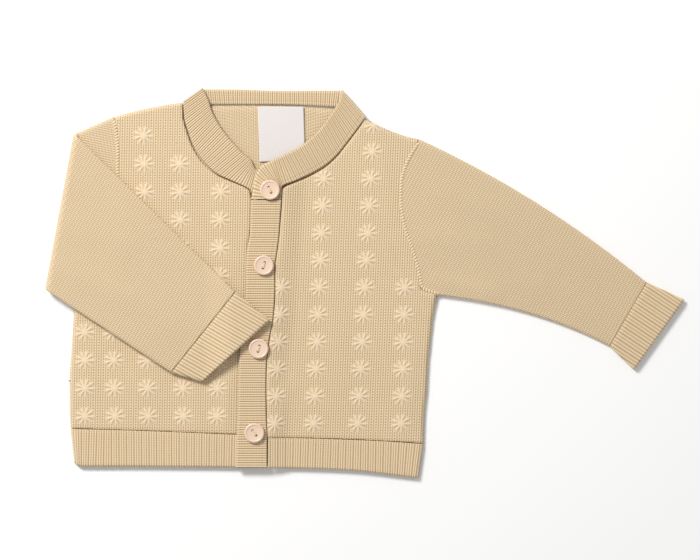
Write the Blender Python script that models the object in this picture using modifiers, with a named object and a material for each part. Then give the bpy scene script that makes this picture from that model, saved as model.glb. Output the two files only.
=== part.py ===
"""Baby cardigan in fine knit, lying flat on its back with the right sleeve folded over the front.

Sizes and places are in millimetres on the table, turned into metres as each mesh is made. X runs to the
wearer's left, Y from hem to neck, and Z up from the table; the origin is under the middle of the garment.
"""

import math
from collections import namedtuple

import bmesh
import bpy
import numpy as np
from mathutils import Vector

MM = 0.001
GARMENT = "baby_cardigan"

# The middle of the laid-out garment, moved onto the origin at the end
MIDDLE = Vector((-0.9, -0.65, 0.0))

# Walls and the air between layers
CLOTH = 1.5
RIB = 1.8
SEAM_GAP = 0.3
LAYER_GAP = 0.4

# Heights of the middle of each layer above the table
BACK_MID = CLOTH / 2
BACK_RIB_MID = RIB / 2
FRONT_MID = CLOTH + LAYER_GAP + CLOTH / 2
FRONT_RIB_MID = RIB + LAYER_GAP + RIB / 2
TOP_BAND_MID = FRONT_RIB_MID + RIB + LAYER_GAP
TOP_BAND_SURFACE = TOP_BAND_MID + RIB / 2

# The front turns down at its sides and shoulders to cover the edge of the back
TURN_RADIUS = FRONT_MID - BACK_MID
TURN_STEPS = (0.0, 0.25, 0.8, TURN_RADIUS)
# How far the left front takes to come up to the buttonhole band
BAND_RISE_WIDTH = 16.0
# A front's rows close up towards the shoulder, as if the panel were this long there
FRONT_LENGTH_AT_SHOULDER = 120.0
# Rows of each front, counted from the hem, up to its underarm
LEFT_UNDERARM_ROW = 6
RIGHT_UNDERARM_ROW = 5
# Rows of the left front below its neckline
LEFT_ROWS_BELOW_NECK = 13
# The width of each front's hem rib
HEM_WIDTH = 100.0

# Sleeves lie as flattened tubes
SLEEVE_PUFF = 0.5
TUBE_EDGE_STEPS = (0.0, 0.2, 0.8, 2.0)

# The right sleeve folds about an axis just above its own top layer
FOLD_TOP = Vector((-182.7, 95.3))
FOLD_BOTTOM = Vector((-200.6, -2.6))
FOLD_AXIS_HEIGHT = 4.0
FOLD_MEAN_RADIUS = 2.2
FOLD_STEPS = 6
BAND_LIFT = 2.8
BAND_LIFT_START = -105.0
BAND_LIFT_END = -84.0

# Buttons, their holes and the slits that they pass through
BUTTON_RADIUS = 6.35
BUTTON_THICKNESS = 2.2
BUTTON_HOLE_RADIUS = 0.85
BUTTON_HOLE_OFFSET = 1.8
THREAD_RADIUS = 0.42
BUTTONHOLE_LENGTH = 10.0
BUTTONHOLE_WIDTH = 4.0
# The button band lies this far inside the buttonhole band's left and right edges
UNDER_BAND_INSET_LEFT = 1.6
UNDER_BAND_INSET_RIGHT = 0.8

# The label is a satin ribbon, woven double
LABEL_THICKNESS = 0.8

# Sections of a panel: from its centre-front side (near) to its side seam or armhole (far)
Section = namedtuple("Section", "near_x near_y far_x far_y bow")
# Sections of a band: from its free edge (near) to its seam (far), with the height of the middle
BandSection = namedtuple("BandSection", "near_x near_y near_z far_x far_y far_z")
# Sections of a straight band across its width
Width = namedtuple("Width", "y left right")
# Sections of a hem rib: from its seam with the panel (top) to its edge (end)
HemSection = namedtuple("HemSection", "top_x top_y end_x end_y")
# Lines along a sleeve: from the armhole to the cuff seam
SleeveLine = namedtuple("SleeveLine", "armhole_x armhole_y")
ButtonPlace = namedtuple("ButtonPlace", "x y hole_angle")

LEFT_FRONT = [
    Section(-63.0, -99.2, 36.5, -103.0, 0.8),
    Section(-63.6, -84.5, 36.9, -86.0, 0.0),
    Section(-63.8, -66.0, 38.7, -68.0, 0.0),
    Section(-63.4, -50.0, 39.6, -51.0, 0.0),
    Section(-61.6, -36.0, 41.0, -36.0, 0.0),
    Section(-59.0, -20.5, 43.2, -18.5, 0.0),
    Section(-58.1, -8.0, 45.2, -8.4, 0.0),
    Section(-58.1, -4.0, 35.2, -5.2, 0.0),
    Section(-58.3, 8.0, 33.0, 7.0, 0.0),
    Section(-56.4, 22.0, 28.8, 21.5, 0.0),
    Section(-54.9, 37.0, 23.5, 37.0, 0.0),
    Section(-53.8, 50.0, 21.4, 53.0, 0.0),
    Section(-53.4, 58.9, 21.9, 62.0, 0.0),
    Section(-43.8, 64.0, 23.4, 70.4, 0.0),
    Section(-34.2, 68.5, 25.0, 75.0, 0.0),
    Section(-26.0, 73.4, 26.8, 79.0, 0.0),
    Section(-18.2, 80.6, 28.6, 82.2, 0.0),
    Section(-11.8, 89.0, 30.4, 85.4, -0.6),
    Section(-5.4, 97.3, 32.2, 88.6, -1.2),
    Section(-0.4, 104.6, 33.6, 91.2, -1.8),
]

RIGHT_FRONT = [
    Section(-81.6, -97.3, -189.1, -93.4, 0.2),
    Section(-81.0, -85.8, -189.7, -82.0, 0.0),
    Section(-80.6, -64.0, -189.8, -64.0, 0.0),
    Section(-80.1, -43.0, -188.6, -43.5, 0.0),
    Section(-78.4, -24.0, -187.2, -22.0, 0.0),
    Section(-76.2, -3.0, -186.2, -2.0, 0.0),
    Section(-76.0, 0.5, -183.0, 1.2, 0.0),
    Section(-75.9, 8.0, -175.0, 7.4, 0.0),
    Section(-75.6, 21.0, -167.0, 20.5, 0.0),
    Section(-73.5, 38.0, -161.2, 39.7, 0.0),
    Section(-73.2, 50.0, -159.2, 54.0, 0.0),
    Section(-74.8, 58.2, -158.4, 66.6, 0.0),
    Section(-87.0, 64.2, -158.3, 76.0, 0.0),
    Section(-95.0, 67.8, -158.4, 84.5, 0.0),
    Section(-101.4, 72.8, -158.7, 91.0, 0.0),
    Section(-106.9, 79.0, -159.2, 95.5, 0.2),
    Section(-111.4, 86.6, -159.7, 99.0, 0.4),
    Section(-114.8, 96.0, -160.2, 101.6, 0.6),
    Section(-117.2, 105.0, -160.6, 103.8, 0.8),
    Section(-117.6, 114.8, -161.0, 105.6, 1.0),
]

BACK = [
    Section(-186.8, -93.8, 34.2, -103.2, 1.0),
    Section(-187.5, -82.0, 34.6, -86.0, 0.0),
    Section(-187.5, -64.0, 36.4, -68.0, 0.0),
    Section(-186.3, -43.5, 37.3, -44.0, 0.0),
    Section(-184.6, -18.0, 40.5, -20.0, 0.0),
    Section(-183.6, -3.0, 42.6, -9.0, 0.0),
    Section(-181.0, 0.8, 34.4, -5.0, 0.0),
    Section(-175.0, 7.4, 33.0, 7.0, 0.0),
    Section(-167.0, 20.5, 28.8, 21.5, 0.0),
    Section(-161.2, 39.7, 23.5, 37.0, 0.0),
    Section(-158.4, 66.6, 21.4, 55.0, 0.0),
    Section(-158.4, 86.0, 24.6, 74.0, 0.0),
    Section(-159.4, 97.0, 29.6, 84.0, 0.0),
    Section(-160.2, 103.0, 32.4, 88.8, 0.4),
    Section(-140.0, 108.2, 18.0, 93.6, 1.0),
    Section(-122.0, 111.0, 4.0, 99.0, 1.4),
    Section(-112.5, 112.2, -13.0, 110.2, 1.5),
]

LEFT_HEM = [
    HemSection(-62.8, -99.6, -62.8, -118.6),
    HemSection(-42.0, -99.9, -42.6, -119.0),
    HemSection(-10.0, -100.9, -10.6, -120.3),
    HemSection(8.6, -101.7, 8.2, -122.2),
    HemSection(24.0, -102.7, 22.5, -124.0),
    HemSection(36.4, -103.6, 33.2, -125.3),
]

RIGHT_HEM = [
    HemSection(-189.1, -93.9, -186.8, -115.6),
    HemSection(-182.0, -94.1, -182.0, -117.9),
    HemSection(-157.8, -94.7, -157.6, -117.9),
    HemSection(-119.4, -96.1, -119.4, -118.1),
    HemSection(-82.2, -97.7, -82.8, -118.4),
]

BACK_HEM = [
    HemSection(-186.2, -94.3, -184.2, -115.6),
    HemSection(-157.8, -95.1, -157.6, -117.6),
    HemSection(-119.4, -96.3, -119.4, -117.8),
    HemSection(-60.0, -98.7, -60.0, -118.2),
    HemSection(-10.0, -101.2, -10.6, -120.0),
    HemSection(34.2, -103.8, 31.2, -124.8),
]

LEFT_NECKBAND = [
    BandSection(-15.7, 122.9, 3.1, -0.3, 105.4, 3.1),
    BandSection(-18.2, 114.6, 3.4, -5.6, 98.2, 3.1),
    BandSection(-22.7, 107.6, 3.7, -12.0, 89.8, 3.2),
    BandSection(-28.4, 99.4, 3.9, -18.6, 81.6, 3.2),
    BandSection(-36.0, 91.6, 4.1, -26.6, 74.4, 3.4),
    BandSection(-43.8, 85.6, 4.5, -34.9, 69.6, 3.7),
    BandSection(-52.2, 81.4, 5.0, -44.3, 65.1, 4.5),
    BandSection(-60.5, 77.4, 5.3, -54.0, 60.4, 5.3),
    BandSection(-67.0, 74.2, 5.3, -54.0, 57.4, 5.3),
    BandSection(-70.6, 68.6, 5.3, -54.1, 54.8, 5.3),
    BandSection(-73.6, 52.8, 5.3, -54.2, 52.8, 5.3),
]

RIGHT_NECKBAND = [
    BandSection(-104.6, 124.0, 3.1, -117.0, 115.3, 3.1),
    BandSection(-101.0, 116.6, 3.2, -116.4, 105.0, 3.1),
    BandSection(-98.8, 109.6, 3.4, -113.9, 96.4, 3.1),
    BandSection(-95.4, 102.8, 3.5, -110.6, 87.2, 3.1),
    BandSection(-90.4, 95.4, 3.5, -106.2, 79.8, 3.1),
    BandSection(-84.2, 88.0, 3.5, -100.9, 73.6, 3.1),
    BandSection(-78.4, 82.0, 3.4, -94.6, 68.6, 3.1),
    BandSection(-73.6, 78.0, 3.3, -86.7, 65.0, 3.1),
    BandSection(-70.8, 72.4, 3.1, -74.4, 58.9, 3.1),
    BandSection(-66.0, 70.4, 3.1, -70.4, 54.0, 3.1),
    BandSection(-62.0, 69.8, 3.1, -64.0, 52.9, 3.1),
    BandSection(-56.6, 69.5, 3.1, -56.2, 52.9, 3.1),
]

BACK_NECKBAND = [
    BandSection(-107.6, 120.4, BACK_RIB_MID, -112.0, 113.0, BACK_RIB_MID),
    BandSection(-103.6, 123.2, BACK_RIB_MID, -104.0, 113.4, BACK_RIB_MID),
    BandSection(-81.0, 123.1, BACK_RIB_MID, -81.0, 113.4, BACK_RIB_MID),
    BandSection(-65.0, 122.5, BACK_RIB_MID, -65.0, 113.4, BACK_RIB_MID),
    BandSection(-49.0, 122.2, BACK_RIB_MID, -49.0, 113.2, BACK_RIB_MID),
    BandSection(-32.0, 122.4, BACK_RIB_MID, -32.0, 112.5, BACK_RIB_MID),
    BandSection(-17.6, 122.4, BACK_RIB_MID, -19.0, 111.6, BACK_RIB_MID),
    BandSection(-11.6, 117.8, BACK_RIB_MID, -13.0, 110.8, BACK_RIB_MID),
]

FRONT_BAND = [
    Width(52.2, -73.8, -54.2),
    Width(39.7, -74.2, -55.2),
    Width(30.7, -74.5, -55.8),
    Width(19.8, -76.4, -57.1),
    Width(8.0, -77.0, -58.7),
    Width(-4.0, -77.1, -58.5),
    Width(-20.5, -78.6, -59.4),
    Width(-36.0, -80.4, -62.0),
    Width(-50.0, -81.3, -63.8),
    Width(-66.0, -81.7, -64.2),
    Width(-84.5, -82.0, -64.0),
    Width(-99.2, -83.0, -63.4),
    Width(-118.4, -83.5, -63.3),
]

LEFT_ARMHOLE = [
    SleeveLine(34.2, 90.3),
    SleeveLine(31.0, 85.6),
    SleeveLine(25.4, 75.0),
    SleeveLine(22.4, 64.5),
    SleeveLine(21.9, 53.0),
    SleeveLine(23.9, 37.2),
    SleeveLine(29.2, 21.6),
    SleeveLine(33.4, 7.2),
    SleeveLine(35.9, -3.6),
    SleeveLine(46.2, -7.6),
]
LEFT_CUFF_TOP = Vector((178.4, -0.8))
LEFT_CUFF_UNDER = Vector((155.6, -40.2))
LEFT_HAND_TOP = Vector((202.6, -12.0))
LEFT_HAND_UNDER = Vector((171.4, -55.4))
LEFT_SLEEVE_BOW = Vector((2.8, 4.8))

RIGHT_ARMHOLE = [
    SleeveLine(-161.6, 104.9),
    SleeveLine(-160.0, 97.0),
    SleeveLine(-158.8, 84.5),
    SleeveLine(-158.8, 66.6),
    SleeveLine(-162.0, 39.7),
    SleeveLine(-168.0, 20.7),
    SleeveLine(-176.0, 8.0),
    SleeveLine(-186.8, -0.2),
]
# Where the folded sleeve's cuff seam and hand end come to lie
RIGHT_CUFF_TOP = Vector((-84.0, -6.9))
RIGHT_CUFF_UNDER = Vector((-124.1, -57.0))
RIGHT_HAND_TOP = Vector((-62.0, -24.9))
RIGHT_HAND_UNDER = Vector((-104.0, -63.0))

BUTTONS = [
    ButtonPlace(-61.5, 58.6, math.radians(-66)),
    ButtonPlace(-65.4, 10.6, math.radians(73)),
    ButtonPlace(-68.7, -42.4, math.radians(77)),
    ButtonPlace(-71.4, -96.0, math.radians(-53)),
]

LABEL = [
    BandSection(-69.4, 112.0, 0, -40.2, 112.0, 0),
    BandSection(-68.9, 94.0, 0, -39.7, 94.2, 0),
    BandSection(-68.3, 76.8, 0, -39.2, 77.2, 0),
]


def clear_scene():
    for existing in list(bpy.data.objects):
        bpy.data.objects.remove(existing, do_unlink=True)


def new_collection(name):
    collection = bpy.data.collections.new(name)
    bpy.context.scene.collection.children.link(collection)
    return collection


def new_material(name, colour, roughness):
    material = bpy.data.materials.new(name)
    material.use_nodes = True
    surface = material.node_tree.nodes["Principled BSDF"]
    surface.inputs["Base Color"].default_value = (*colour, 1.0)
    surface.inputs["Roughness"].default_value = roughness
    surface.inputs["Metallic"].default_value = 0.0
    return material


def unbent_slopes(at, values):
    """Slopes for a smooth line through the values that never overshoots them."""
    step = np.diff(at)
    rise = np.diff(values) / step
    slopes = np.zeros(len(at))
    slopes[0], slopes[-1] = rise[0], rise[-1]
    for i in range(1, len(at) - 1):
        if rise[i - 1] * rise[i] > 0:
            before = 2 * step[i] + step[i - 1]
            after = step[i] + 2 * step[i - 1]
            slopes[i] = (before + after) / (before / rise[i - 1] + after / rise[i])
    return slopes


class SmoothTable:
    """The columns of a table, each a smooth function of a place from 0 to 1 down its rows."""

    def __init__(self, rows, at):
        self.at = at
        self.columns = np.array(rows, float).T
        self.slopes = [unbent_slopes(at, column) for column in self.columns]

    def row(self, place):
        i = int(np.clip(np.searchsorted(self.at, place) - 1, 0, len(self.at) - 2))
        step = self.at[i + 1] - self.at[i]
        t = (place - self.at[i]) / step
        start_weight = (1 + 2 * t) * (1 - t) ** 2
        end_weight = t * t * (3 - 2 * t)
        start_slope = t * (1 - t) ** 2 * step
        end_slope = t * t * (t - 1) * step
        return [
            start_weight * value[i] + end_weight * value[i + 1]
            + start_slope * slope[i] + end_slope * slope[i + 1]
            for value, slope in zip(self.columns, self.slopes)
        ]

    def stations(self, longest):
        """Every table row's place, and evenly spaced ones between them, no further apart than longest."""
        places = [0.0]
        for start, end in zip(self.at[:-1], self.at[1:]):
            count = max(1, math.ceil((end - start) / longest - 0.01))
            places += [start + (end - start) * k / count for k in range(1, count + 1)]
        return places


def spacing(near, far):
    """Places of the rows from 0 to 1, by the mean length of the two edges."""
    step = np.linalg.norm(np.diff(near, axis=0), axis=1) + np.linalg.norm(np.diff(far, axis=0), axis=1)
    return np.concatenate([[0.0], np.cumsum(step)]) / step.sum()


def edges_table(rows, near_columns, far_columns):
    values = np.array(rows, float)
    return SmoothTable(rows, spacing(values[:, near_columns], values[:, far_columns]))


def grid_object(name, columns, rows, place, wall, material, collection, closed=False):
    """A sheet of columns by rows steps, each point set by place(column, row), with Solidify as its wall."""
    bm = bmesh.new()
    bmesh.ops.create_grid(bm, x_segments=columns, y_segments=rows, size=0.5)
    for vertex in bm.verts:
        column = round((vertex.co.x + 0.5) * columns)
        row = round((vertex.co.y + 0.5) * rows)
        vertex.co = Vector(place(column, row)) * MM
    if closed:
        bmesh.ops.remove_doubles(bm, verts=bm.verts, dist=0.001 * MM)
    mesh = bpy.data.meshes.new(name)
    bm.to_mesh(mesh)
    bm.free()
    mesh.shade_smooth()
    piece = bpy.data.objects.new(name, mesh)
    piece.data.materials.append(material)
    collection.objects.link(piece)
    shell = piece.modifiers.new("wall", "SOLIDIFY")
    shell.thickness = wall * MM
    shell.offset = 0.0
    return piece


def turn_down(distance):
    """How far the middle of a turned edge has dropped, this far in from its end."""
    if distance >= TURN_RADIUS:
        return 0.0
    return TURN_RADIUS - math.sqrt(TURN_RADIUS**2 - (TURN_RADIUS - distance) ** 2)


def ease(value):
    """From 0 to 1 with level ends."""
    value = min(max(value, 0.0), 1.0)
    return value * value * (3 - 2 * value)


def band_seam_x(y):
    """Where the left front meets the buttonhole band, at this height up the garment."""
    rows = sorted((row.near_y, row.near_x) for row in LEFT_FRONT[:LEFT_ROWS_BELOW_NECK])
    return float(np.interp(y, [r[0] for r in rows], [r[1] for r in rows]))


def left_front_height(x, y, flat_height):
    """The left front comes up to the buttonhole band along their seam."""
    rise = 1 - ease((x - band_seam_x(y)) / BAND_RISE_WIDTH)
    return flat_height + rise * (TOP_BAND_MID - flat_height)


def shoulder_drop(x, y, section):
    """The turn down at the shoulder, from the distance below the shoulder line."""
    across = (x - section.near_x) / (section.far_x - section.near_x)
    line = section.near_y + across * (section.far_y - section.near_y)
    line += section.bow * 4 * across * (1 - across)
    return turn_down(max(line - CLOTH / 2 - y, 0.0))


def make_front(name, sections, underarm_row, height, material, collection):
    """A front panel: flat over the back, turned down along its side and its shoulder."""
    table = edges_table(sections, [0, 1], [2, 3])
    underarm = table.at[underarm_row]
    top = [1 - (CLOTH / 2 + step) / FRONT_LENGTH_AT_SHOULDER for step in reversed(TURN_STEPS)]
    rows = [place for place in table.stations(0.075) if place < top[0] - 0.01] + top
    inner = [0.0, 0.08, 0.16, 0.3, 0.45, 0.6, 0.75, 0.9]

    def place(column, row):
        near_x, near_y, far_x, far_y, bow = table.row(rows[row])
        width = abs(far_x - near_x)
        at_side = 1.0 if rows[row] <= underarm + 1e-6 else 0.0
        if column < len(inner):
            across = inner[column]
        else:
            step = TURN_STEPS[len(TURN_STEPS) - 1 - (column - len(inner))]
            across = 1 - (at_side * CLOTH / 2 + step) / width
        x = near_x + across * (far_x - near_x)
        y = near_y + across * (far_y - near_y) + bow * 4 * across * (1 - across)
        z = height(x, y)
        side_distance = (1 - across) * width - CLOTH / 2
        z -= at_side * turn_down(max(side_distance, 0.0))
        z -= shoulder_drop(x, y, sections[-1]) * ease((rows[row] - 0.9) / 0.05)
        return x, y, max(z, BACK_MID)

    columns = len(inner) + len(TURN_STEPS) - 1
    return grid_object(name, columns, len(rows) - 1, place, CLOTH, material, collection)


def make_back(material, collection):
    table = edges_table(BACK, [0, 1], [2, 3])
    rows = table.stations(0.09)
    columns = 12

    def place(column, row):
        near_x, near_y, far_x, far_y, bow = table.row(rows[row])
        across = column / columns
        x = near_x + across * (far_x - near_x)
        y = near_y + across * (far_y - near_y) + bow * 4 * across * (1 - across)
        return x, y, BACK_MID

    return grid_object("back", columns, len(rows) - 1, place, CLOTH, material, collection)


def make_hem(name, sections, height, turned_end, material, collection):
    """A hem rib. turned_end is -1 or 1 where its first or last row is a side edge that turns down."""
    table = edges_table(sections, [0, 1], [2, 3])
    turn = [(RIB / 2 + step) / HEM_WIDTH for step in TURN_STEPS] if turned_end else [0.0]
    inside = [place for place in table.stations(0.14) if 0.03 < place < 0.97]
    if turned_end < 0:
        rows = turn + inside + [1.0]
    elif turned_end > 0:
        rows = [0.0] + inside + [1 - place for place in reversed(turn)]
    else:
        rows = [0.0] + inside + [1.0]
    columns = 2

    def place(column, row):
        top_x, top_y, end_x, end_y = table.row(rows[row])
        down = column / columns
        x = top_x + down * (end_x - top_x)
        y = top_y + down * (end_y - top_y)
        z = height(x, y)
        if turned_end:
            end = rows[row] if turned_end < 0 else 1 - rows[row]
            z -= turn_down(max(end * HEM_WIDTH - RIB / 2, 0.0))
        return x, y, max(z, BACK_RIB_MID)

    return grid_object(name, columns, len(rows) - 1, place, RIB, material, collection)


def make_band(name, sections, wall, columns, longest, material, collection):
    """A strip between its free edge and its seam, at the heights in its table."""
    table = edges_table(sections, [0, 1], [3, 4])
    rows = table.stations(longest)

    def place(column, row):
        near_x, near_y, near_z, far_x, far_y, far_z = table.row(rows[row])
        across = column / columns
        return (
            near_x + across * (far_x - near_x),
            near_y + across * (far_y - near_y),
            near_z + across * (far_z - near_z),
        )

    return grid_object(name, columns, len(rows) - 1, place, wall, material, collection)


def front_band_sections(inset_left, inset_right, middle):
    return [
        BandSection(row.left + inset_left, row.y, middle, row.right - inset_right, row.y, middle)
        for row in FRONT_BAND
    ]


def fold_directions():
    """The fold's line and the direction across it, away from the body."""
    along = (FOLD_TOP - FOLD_BOTTOM).normalized()
    return along, Vector((-along.y, along.x))


def opened_out(point):
    """Where a place on the folded sleeve lies when the sleeve is opened out flat."""
    along, outward = fold_directions()
    offset = point - FOLD_BOTTOM
    distance = -offset.dot(outward)
    reach = distance + math.pi * FOLD_MEAN_RADIUS
    return FOLD_BOTTOM + along * offset.dot(along) + outward * reach


def fold_over(x, y, z):
    """Bends a point of the opened-out sleeve about the fold's axis."""
    along, outward = fold_directions()
    offset = Vector((x, y)) - FOLD_BOTTOM
    distance = offset.dot(outward)
    if distance <= 0:
        return x, y, z
    turn = min(distance / FOLD_MEAN_RADIUS, math.pi)
    radius = FOLD_AXIS_HEIGHT - z
    past = max(distance - math.pi * FOLD_MEAN_RADIUS, 0.0)
    reach = radius * math.sin(turn) - past
    height = FOLD_AXIS_HEIGHT - radius * math.cos(turn)
    lies_at = FOLD_BOTTOM + along * offset.dot(along) + outward * reach
    if past > 0:
        height += BAND_LIFT * ease((lies_at.x - BAND_LIFT_START) / (BAND_LIFT_END - BAND_LIFT_START))
    return lies_at.x, lies_at.y, height


def as_laid(x, y, z):
    return x, y, z


def tube_places(edge_steps, width, count):
    """Places from 0 to 1 across a flattened tube, close together at both edges."""
    edge = [step / width for step in edge_steps]
    middle = [edge[-1] + (1 - 2 * edge[-1]) * k / count for k in range(1, count)]
    return edge + middle + [1 - place for place in reversed(edge)]


def make_tube(name, start, end, lengths, bow, wall, middles, puff, laid, material, collection):
    """A flattened tube from one line across it to another, open at both ends.

    start and end give a point for each place from 0 to 1 across; lengths gives the places along the tube
    for each place across; middles are the heights of its lower and upper layers; laid moves each finished
    point to where it lies.
    """
    width = (start(1.0) - start(0.0)).length
    across = tube_places(TUBE_EDGE_STEPS, width, 6)
    ring = [(place, 1) for place in across] + [(place, -1) for place in reversed(across[1:-1])]
    lower, upper = middles

    def place(column, row):
        side, layer = ring[column % len(ring)]
        along = lengths(side)[row]
        point = start(side) * (1 - along) + end(side) * along + bow * 4 * along * (1 - along)
        local_width = ((start(1.0) - start(0.0)) * (1 - along) + (end(1.0) - end(0.0)) * along).length
        top = upper + puff * math.sin(math.pi * side) * math.sin(math.pi * min(along + 0.1, 1.0))
        centre = (lower + upper) / 2
        reach = min(side, 1 - side) * local_width / TUBE_EDGE_STEPS[-1]
        roundness = math.sqrt(1 - (1 - min(reach, 1.0)) ** 2)
        z = centre + roundness * ((top if layer > 0 else lower) - centre)
        return laid(point.x, point.y, z)

    steps = len(lengths(0.0)) - 1
    return grid_object(name, len(ring), steps, place, wall, material, collection, closed=True)


def armhole_curve(lines):
    table = edges_table(lines, [0, 1], [0, 1])
    return lambda place: Vector(table.row(place))


def straight(start, end):
    return lambda place: start.lerp(end, place)


def even_lengths(count):
    lengths = [k / count for k in range(count + 1)]
    return lambda side: lengths


def lengths_round_fold(start, end):
    """Places along the sleeve for each place across it, close together where it bends round the fold."""
    _, outward = fold_directions()

    def lengths(side):
        first = (start(side) - FOLD_BOTTOM).dot(outward)
        last = (end(side) - FOLD_BOTTOM).dot(outward)
        bend = [math.pi * FOLD_MEAN_RADIUS * k / FOLD_STEPS for k in range(FOLD_STEPS + 1)]
        before = [first * (1 - k / 3) for k in range(3)]
        after = [bend[-1] + (last - bend[-1]) * k / 9 for k in range(1, 10)]
        return [(distance - first) / (last - first) for distance in before + bend + after]

    return lengths


def make_sleeve_left(cloth, rib, collection):
    cuff = straight(LEFT_CUFF_TOP, LEFT_CUFF_UNDER)
    hand = straight(LEFT_HAND_TOP, LEFT_HAND_UNDER)
    forward = (hand(0.5) - cuff(0.5)).normalized()
    make_tube(
        "sleeve_left", armhole_curve(LEFT_ARMHOLE), cuff, even_lengths(10), LEFT_SLEEVE_BOW, CLOTH,
        (BACK_MID, FRONT_MID), SLEEVE_PUFF, as_laid, cloth, collection,
    )
    cuff_start = straight(LEFT_CUFF_TOP + forward * SEAM_GAP, LEFT_CUFF_UNDER + forward * SEAM_GAP)
    make_tube(
        "cuff_left", cuff_start, hand, even_lengths(2), Vector((0, 0)), RIB,
        (BACK_RIB_MID, FRONT_RIB_MID), 0.0, as_laid, rib, collection,
    )


def make_sleeve_right(cloth, rib, collection):
    cuff = straight(opened_out(RIGHT_CUFF_TOP), opened_out(RIGHT_CUFF_UNDER))
    hand = straight(opened_out(RIGHT_HAND_TOP), opened_out(RIGHT_HAND_UNDER))
    forward = (hand(0.5) - cuff(0.5)).normalized()
    armhole = armhole_curve(RIGHT_ARMHOLE)
    make_tube(
        "sleeve_right", armhole, cuff, lengths_round_fold(armhole, cuff), Vector((0, 0)), CLOTH,
        (BACK_MID, FRONT_MID), SLEEVE_PUFF, fold_over, cloth, collection,
    )
    cuff_start = straight(cuff(0.0) + forward * SEAM_GAP, cuff(1.0) + forward * SEAM_GAP)
    make_tube(
        "cuff_right", cuff_start, hand, even_lengths(3), Vector((0, 0)), RIB,
        (BACK_RIB_MID, FRONT_RIB_MID), 0.0, fold_over, rib, collection,
    )


def cut(piece, cutter):
    boolean = piece.modifiers.new("cut", "BOOLEAN")
    boolean.operation = "DIFFERENCE"
    boolean.object = cutter


def new_cutter(name, bm, collection):
    mesh = bpy.data.meshes.new(name)
    bm.to_mesh(mesh)
    bm.free()
    cutter = bpy.data.objects.new(name, mesh)
    cutter.hide_render = True
    cutter.display_type = "WIRE"
    collection.objects.link(cutter)
    return cutter


def buttonhole_cutter(number, button, collection):
    """An upright oval that opens the buttonhole to the width that the button's thread spreads it."""
    bm = bmesh.new()
    bmesh.ops.create_cone(
        bm, cap_ends=True, segments=12, radius1=1.0, radius2=1.0, depth=4 * RIB * MM
    )
    for vertex in bm.verts:
        vertex.co.x *= BUTTONHOLE_WIDTH / 2 * MM
        vertex.co.y *= BUTTONHOLE_LENGTH / 2 * MM
    cutter = new_cutter(f"buttonhole_cutter_{number}", bm, collection)
    cutter.location = Vector((button.x, button.y, TOP_BAND_MID)) * MM
    return cutter


def button_mesh():
    """A turned button with a raised rim and a dished face, made once and shared."""
    top = BUTTON_THICKNESS
    profile = [
        (0.0, top - 0.6), (3.6, top - 0.55), (4.6, top - 0.15), (5.3, top), (6.0, top - 0.35),
        (BUTTON_RADIUS, top - 1.0), (6.1, 0.5), (5.2, 0.0), (0.0, 0.0),
    ]
    bm = bmesh.new()
    ring = [bm.verts.new((radius * MM, 0.0, height * MM)) for radius, height in profile]
    for first, second in zip(ring[:-1], ring[1:]):
        bm.edges.new((first, second))
    mesh = bpy.data.meshes.new("button")
    bm.to_mesh(mesh)
    bm.free()
    return mesh


def make_button(number, place, mesh, collection, cutters):
    button = bpy.data.objects.new(f"button_{number}", mesh)
    collection.objects.link(button)
    button.location = Vector((place.x, place.y, TOP_BAND_SURFACE + SEAM_GAP)) * MM
    screw = button.modifiers.new("turned", "SCREW")
    screw.axis = "Z"
    screw.steps = 28
    screw.render_steps = 28
    screw.use_merge_vertices = True
    screw.merge_threshold = 0.01 * MM
    along = Vector((math.cos(place.hole_angle), math.sin(place.hole_angle), 0.0))
    for side in (-1, 1):
        bm = bmesh.new()
        bmesh.ops.create_cone(
            bm, cap_ends=True, segments=10, depth=4 * BUTTON_THICKNESS * MM,
            radius1=BUTTON_HOLE_RADIUS * MM, radius2=BUTTON_HOLE_RADIUS * MM,
        )
        cutter = new_cutter(f"button_hole_cutter_{number}_{side + 2}", bm, cutters)
        cutter.location = button.location + along * (side * BUTTON_HOLE_OFFSET * MM)
        cut(button, cutter)


def make_thread(number, place, material, collection):
    """The thread's two legs and the bar between the button's holes."""
    along = Vector((math.cos(place.hole_angle), math.sin(place.hole_angle), 0.0))
    foot = TOP_BAND_MID - RIB / 2 - LAYER_GAP + SEAM_GAP
    bar = TOP_BAND_SURFACE + SEAM_GAP + BUTTON_THICKNESS - 0.6 + SEAM_GAP + THREAD_RADIUS
    corner = 0.5
    half = BUTTON_HOLE_OFFSET
    route = [
        (-half, foot), (-half, bar - corner), (-half + 0.15, bar - 0.15), (-half + corner, bar),
        (half - corner, bar), (half - 0.15, bar - 0.15), (half, bar - corner), (half, foot),
    ]
    curve = bpy.data.curves.new(f"thread_{number}", "CURVE")
    curve.dimensions = "3D"
    curve.bevel_depth = THREAD_RADIUS * MM
    curve.bevel_resolution = 1
    curve.use_fill_caps = True
    spline = curve.splines.new("POLY")
    spline.points.add(len(route) - 1)
    for point, (reach, height) in zip(spline.points, route):
        position = along * reach + Vector((place.x, place.y, height))
        point.co = (*(position * MM), 1.0)
    thread = bpy.data.objects.new(f"thread_{number}", curve)
    thread.data.materials.append(material)
    collection.objects.link(thread)


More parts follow.
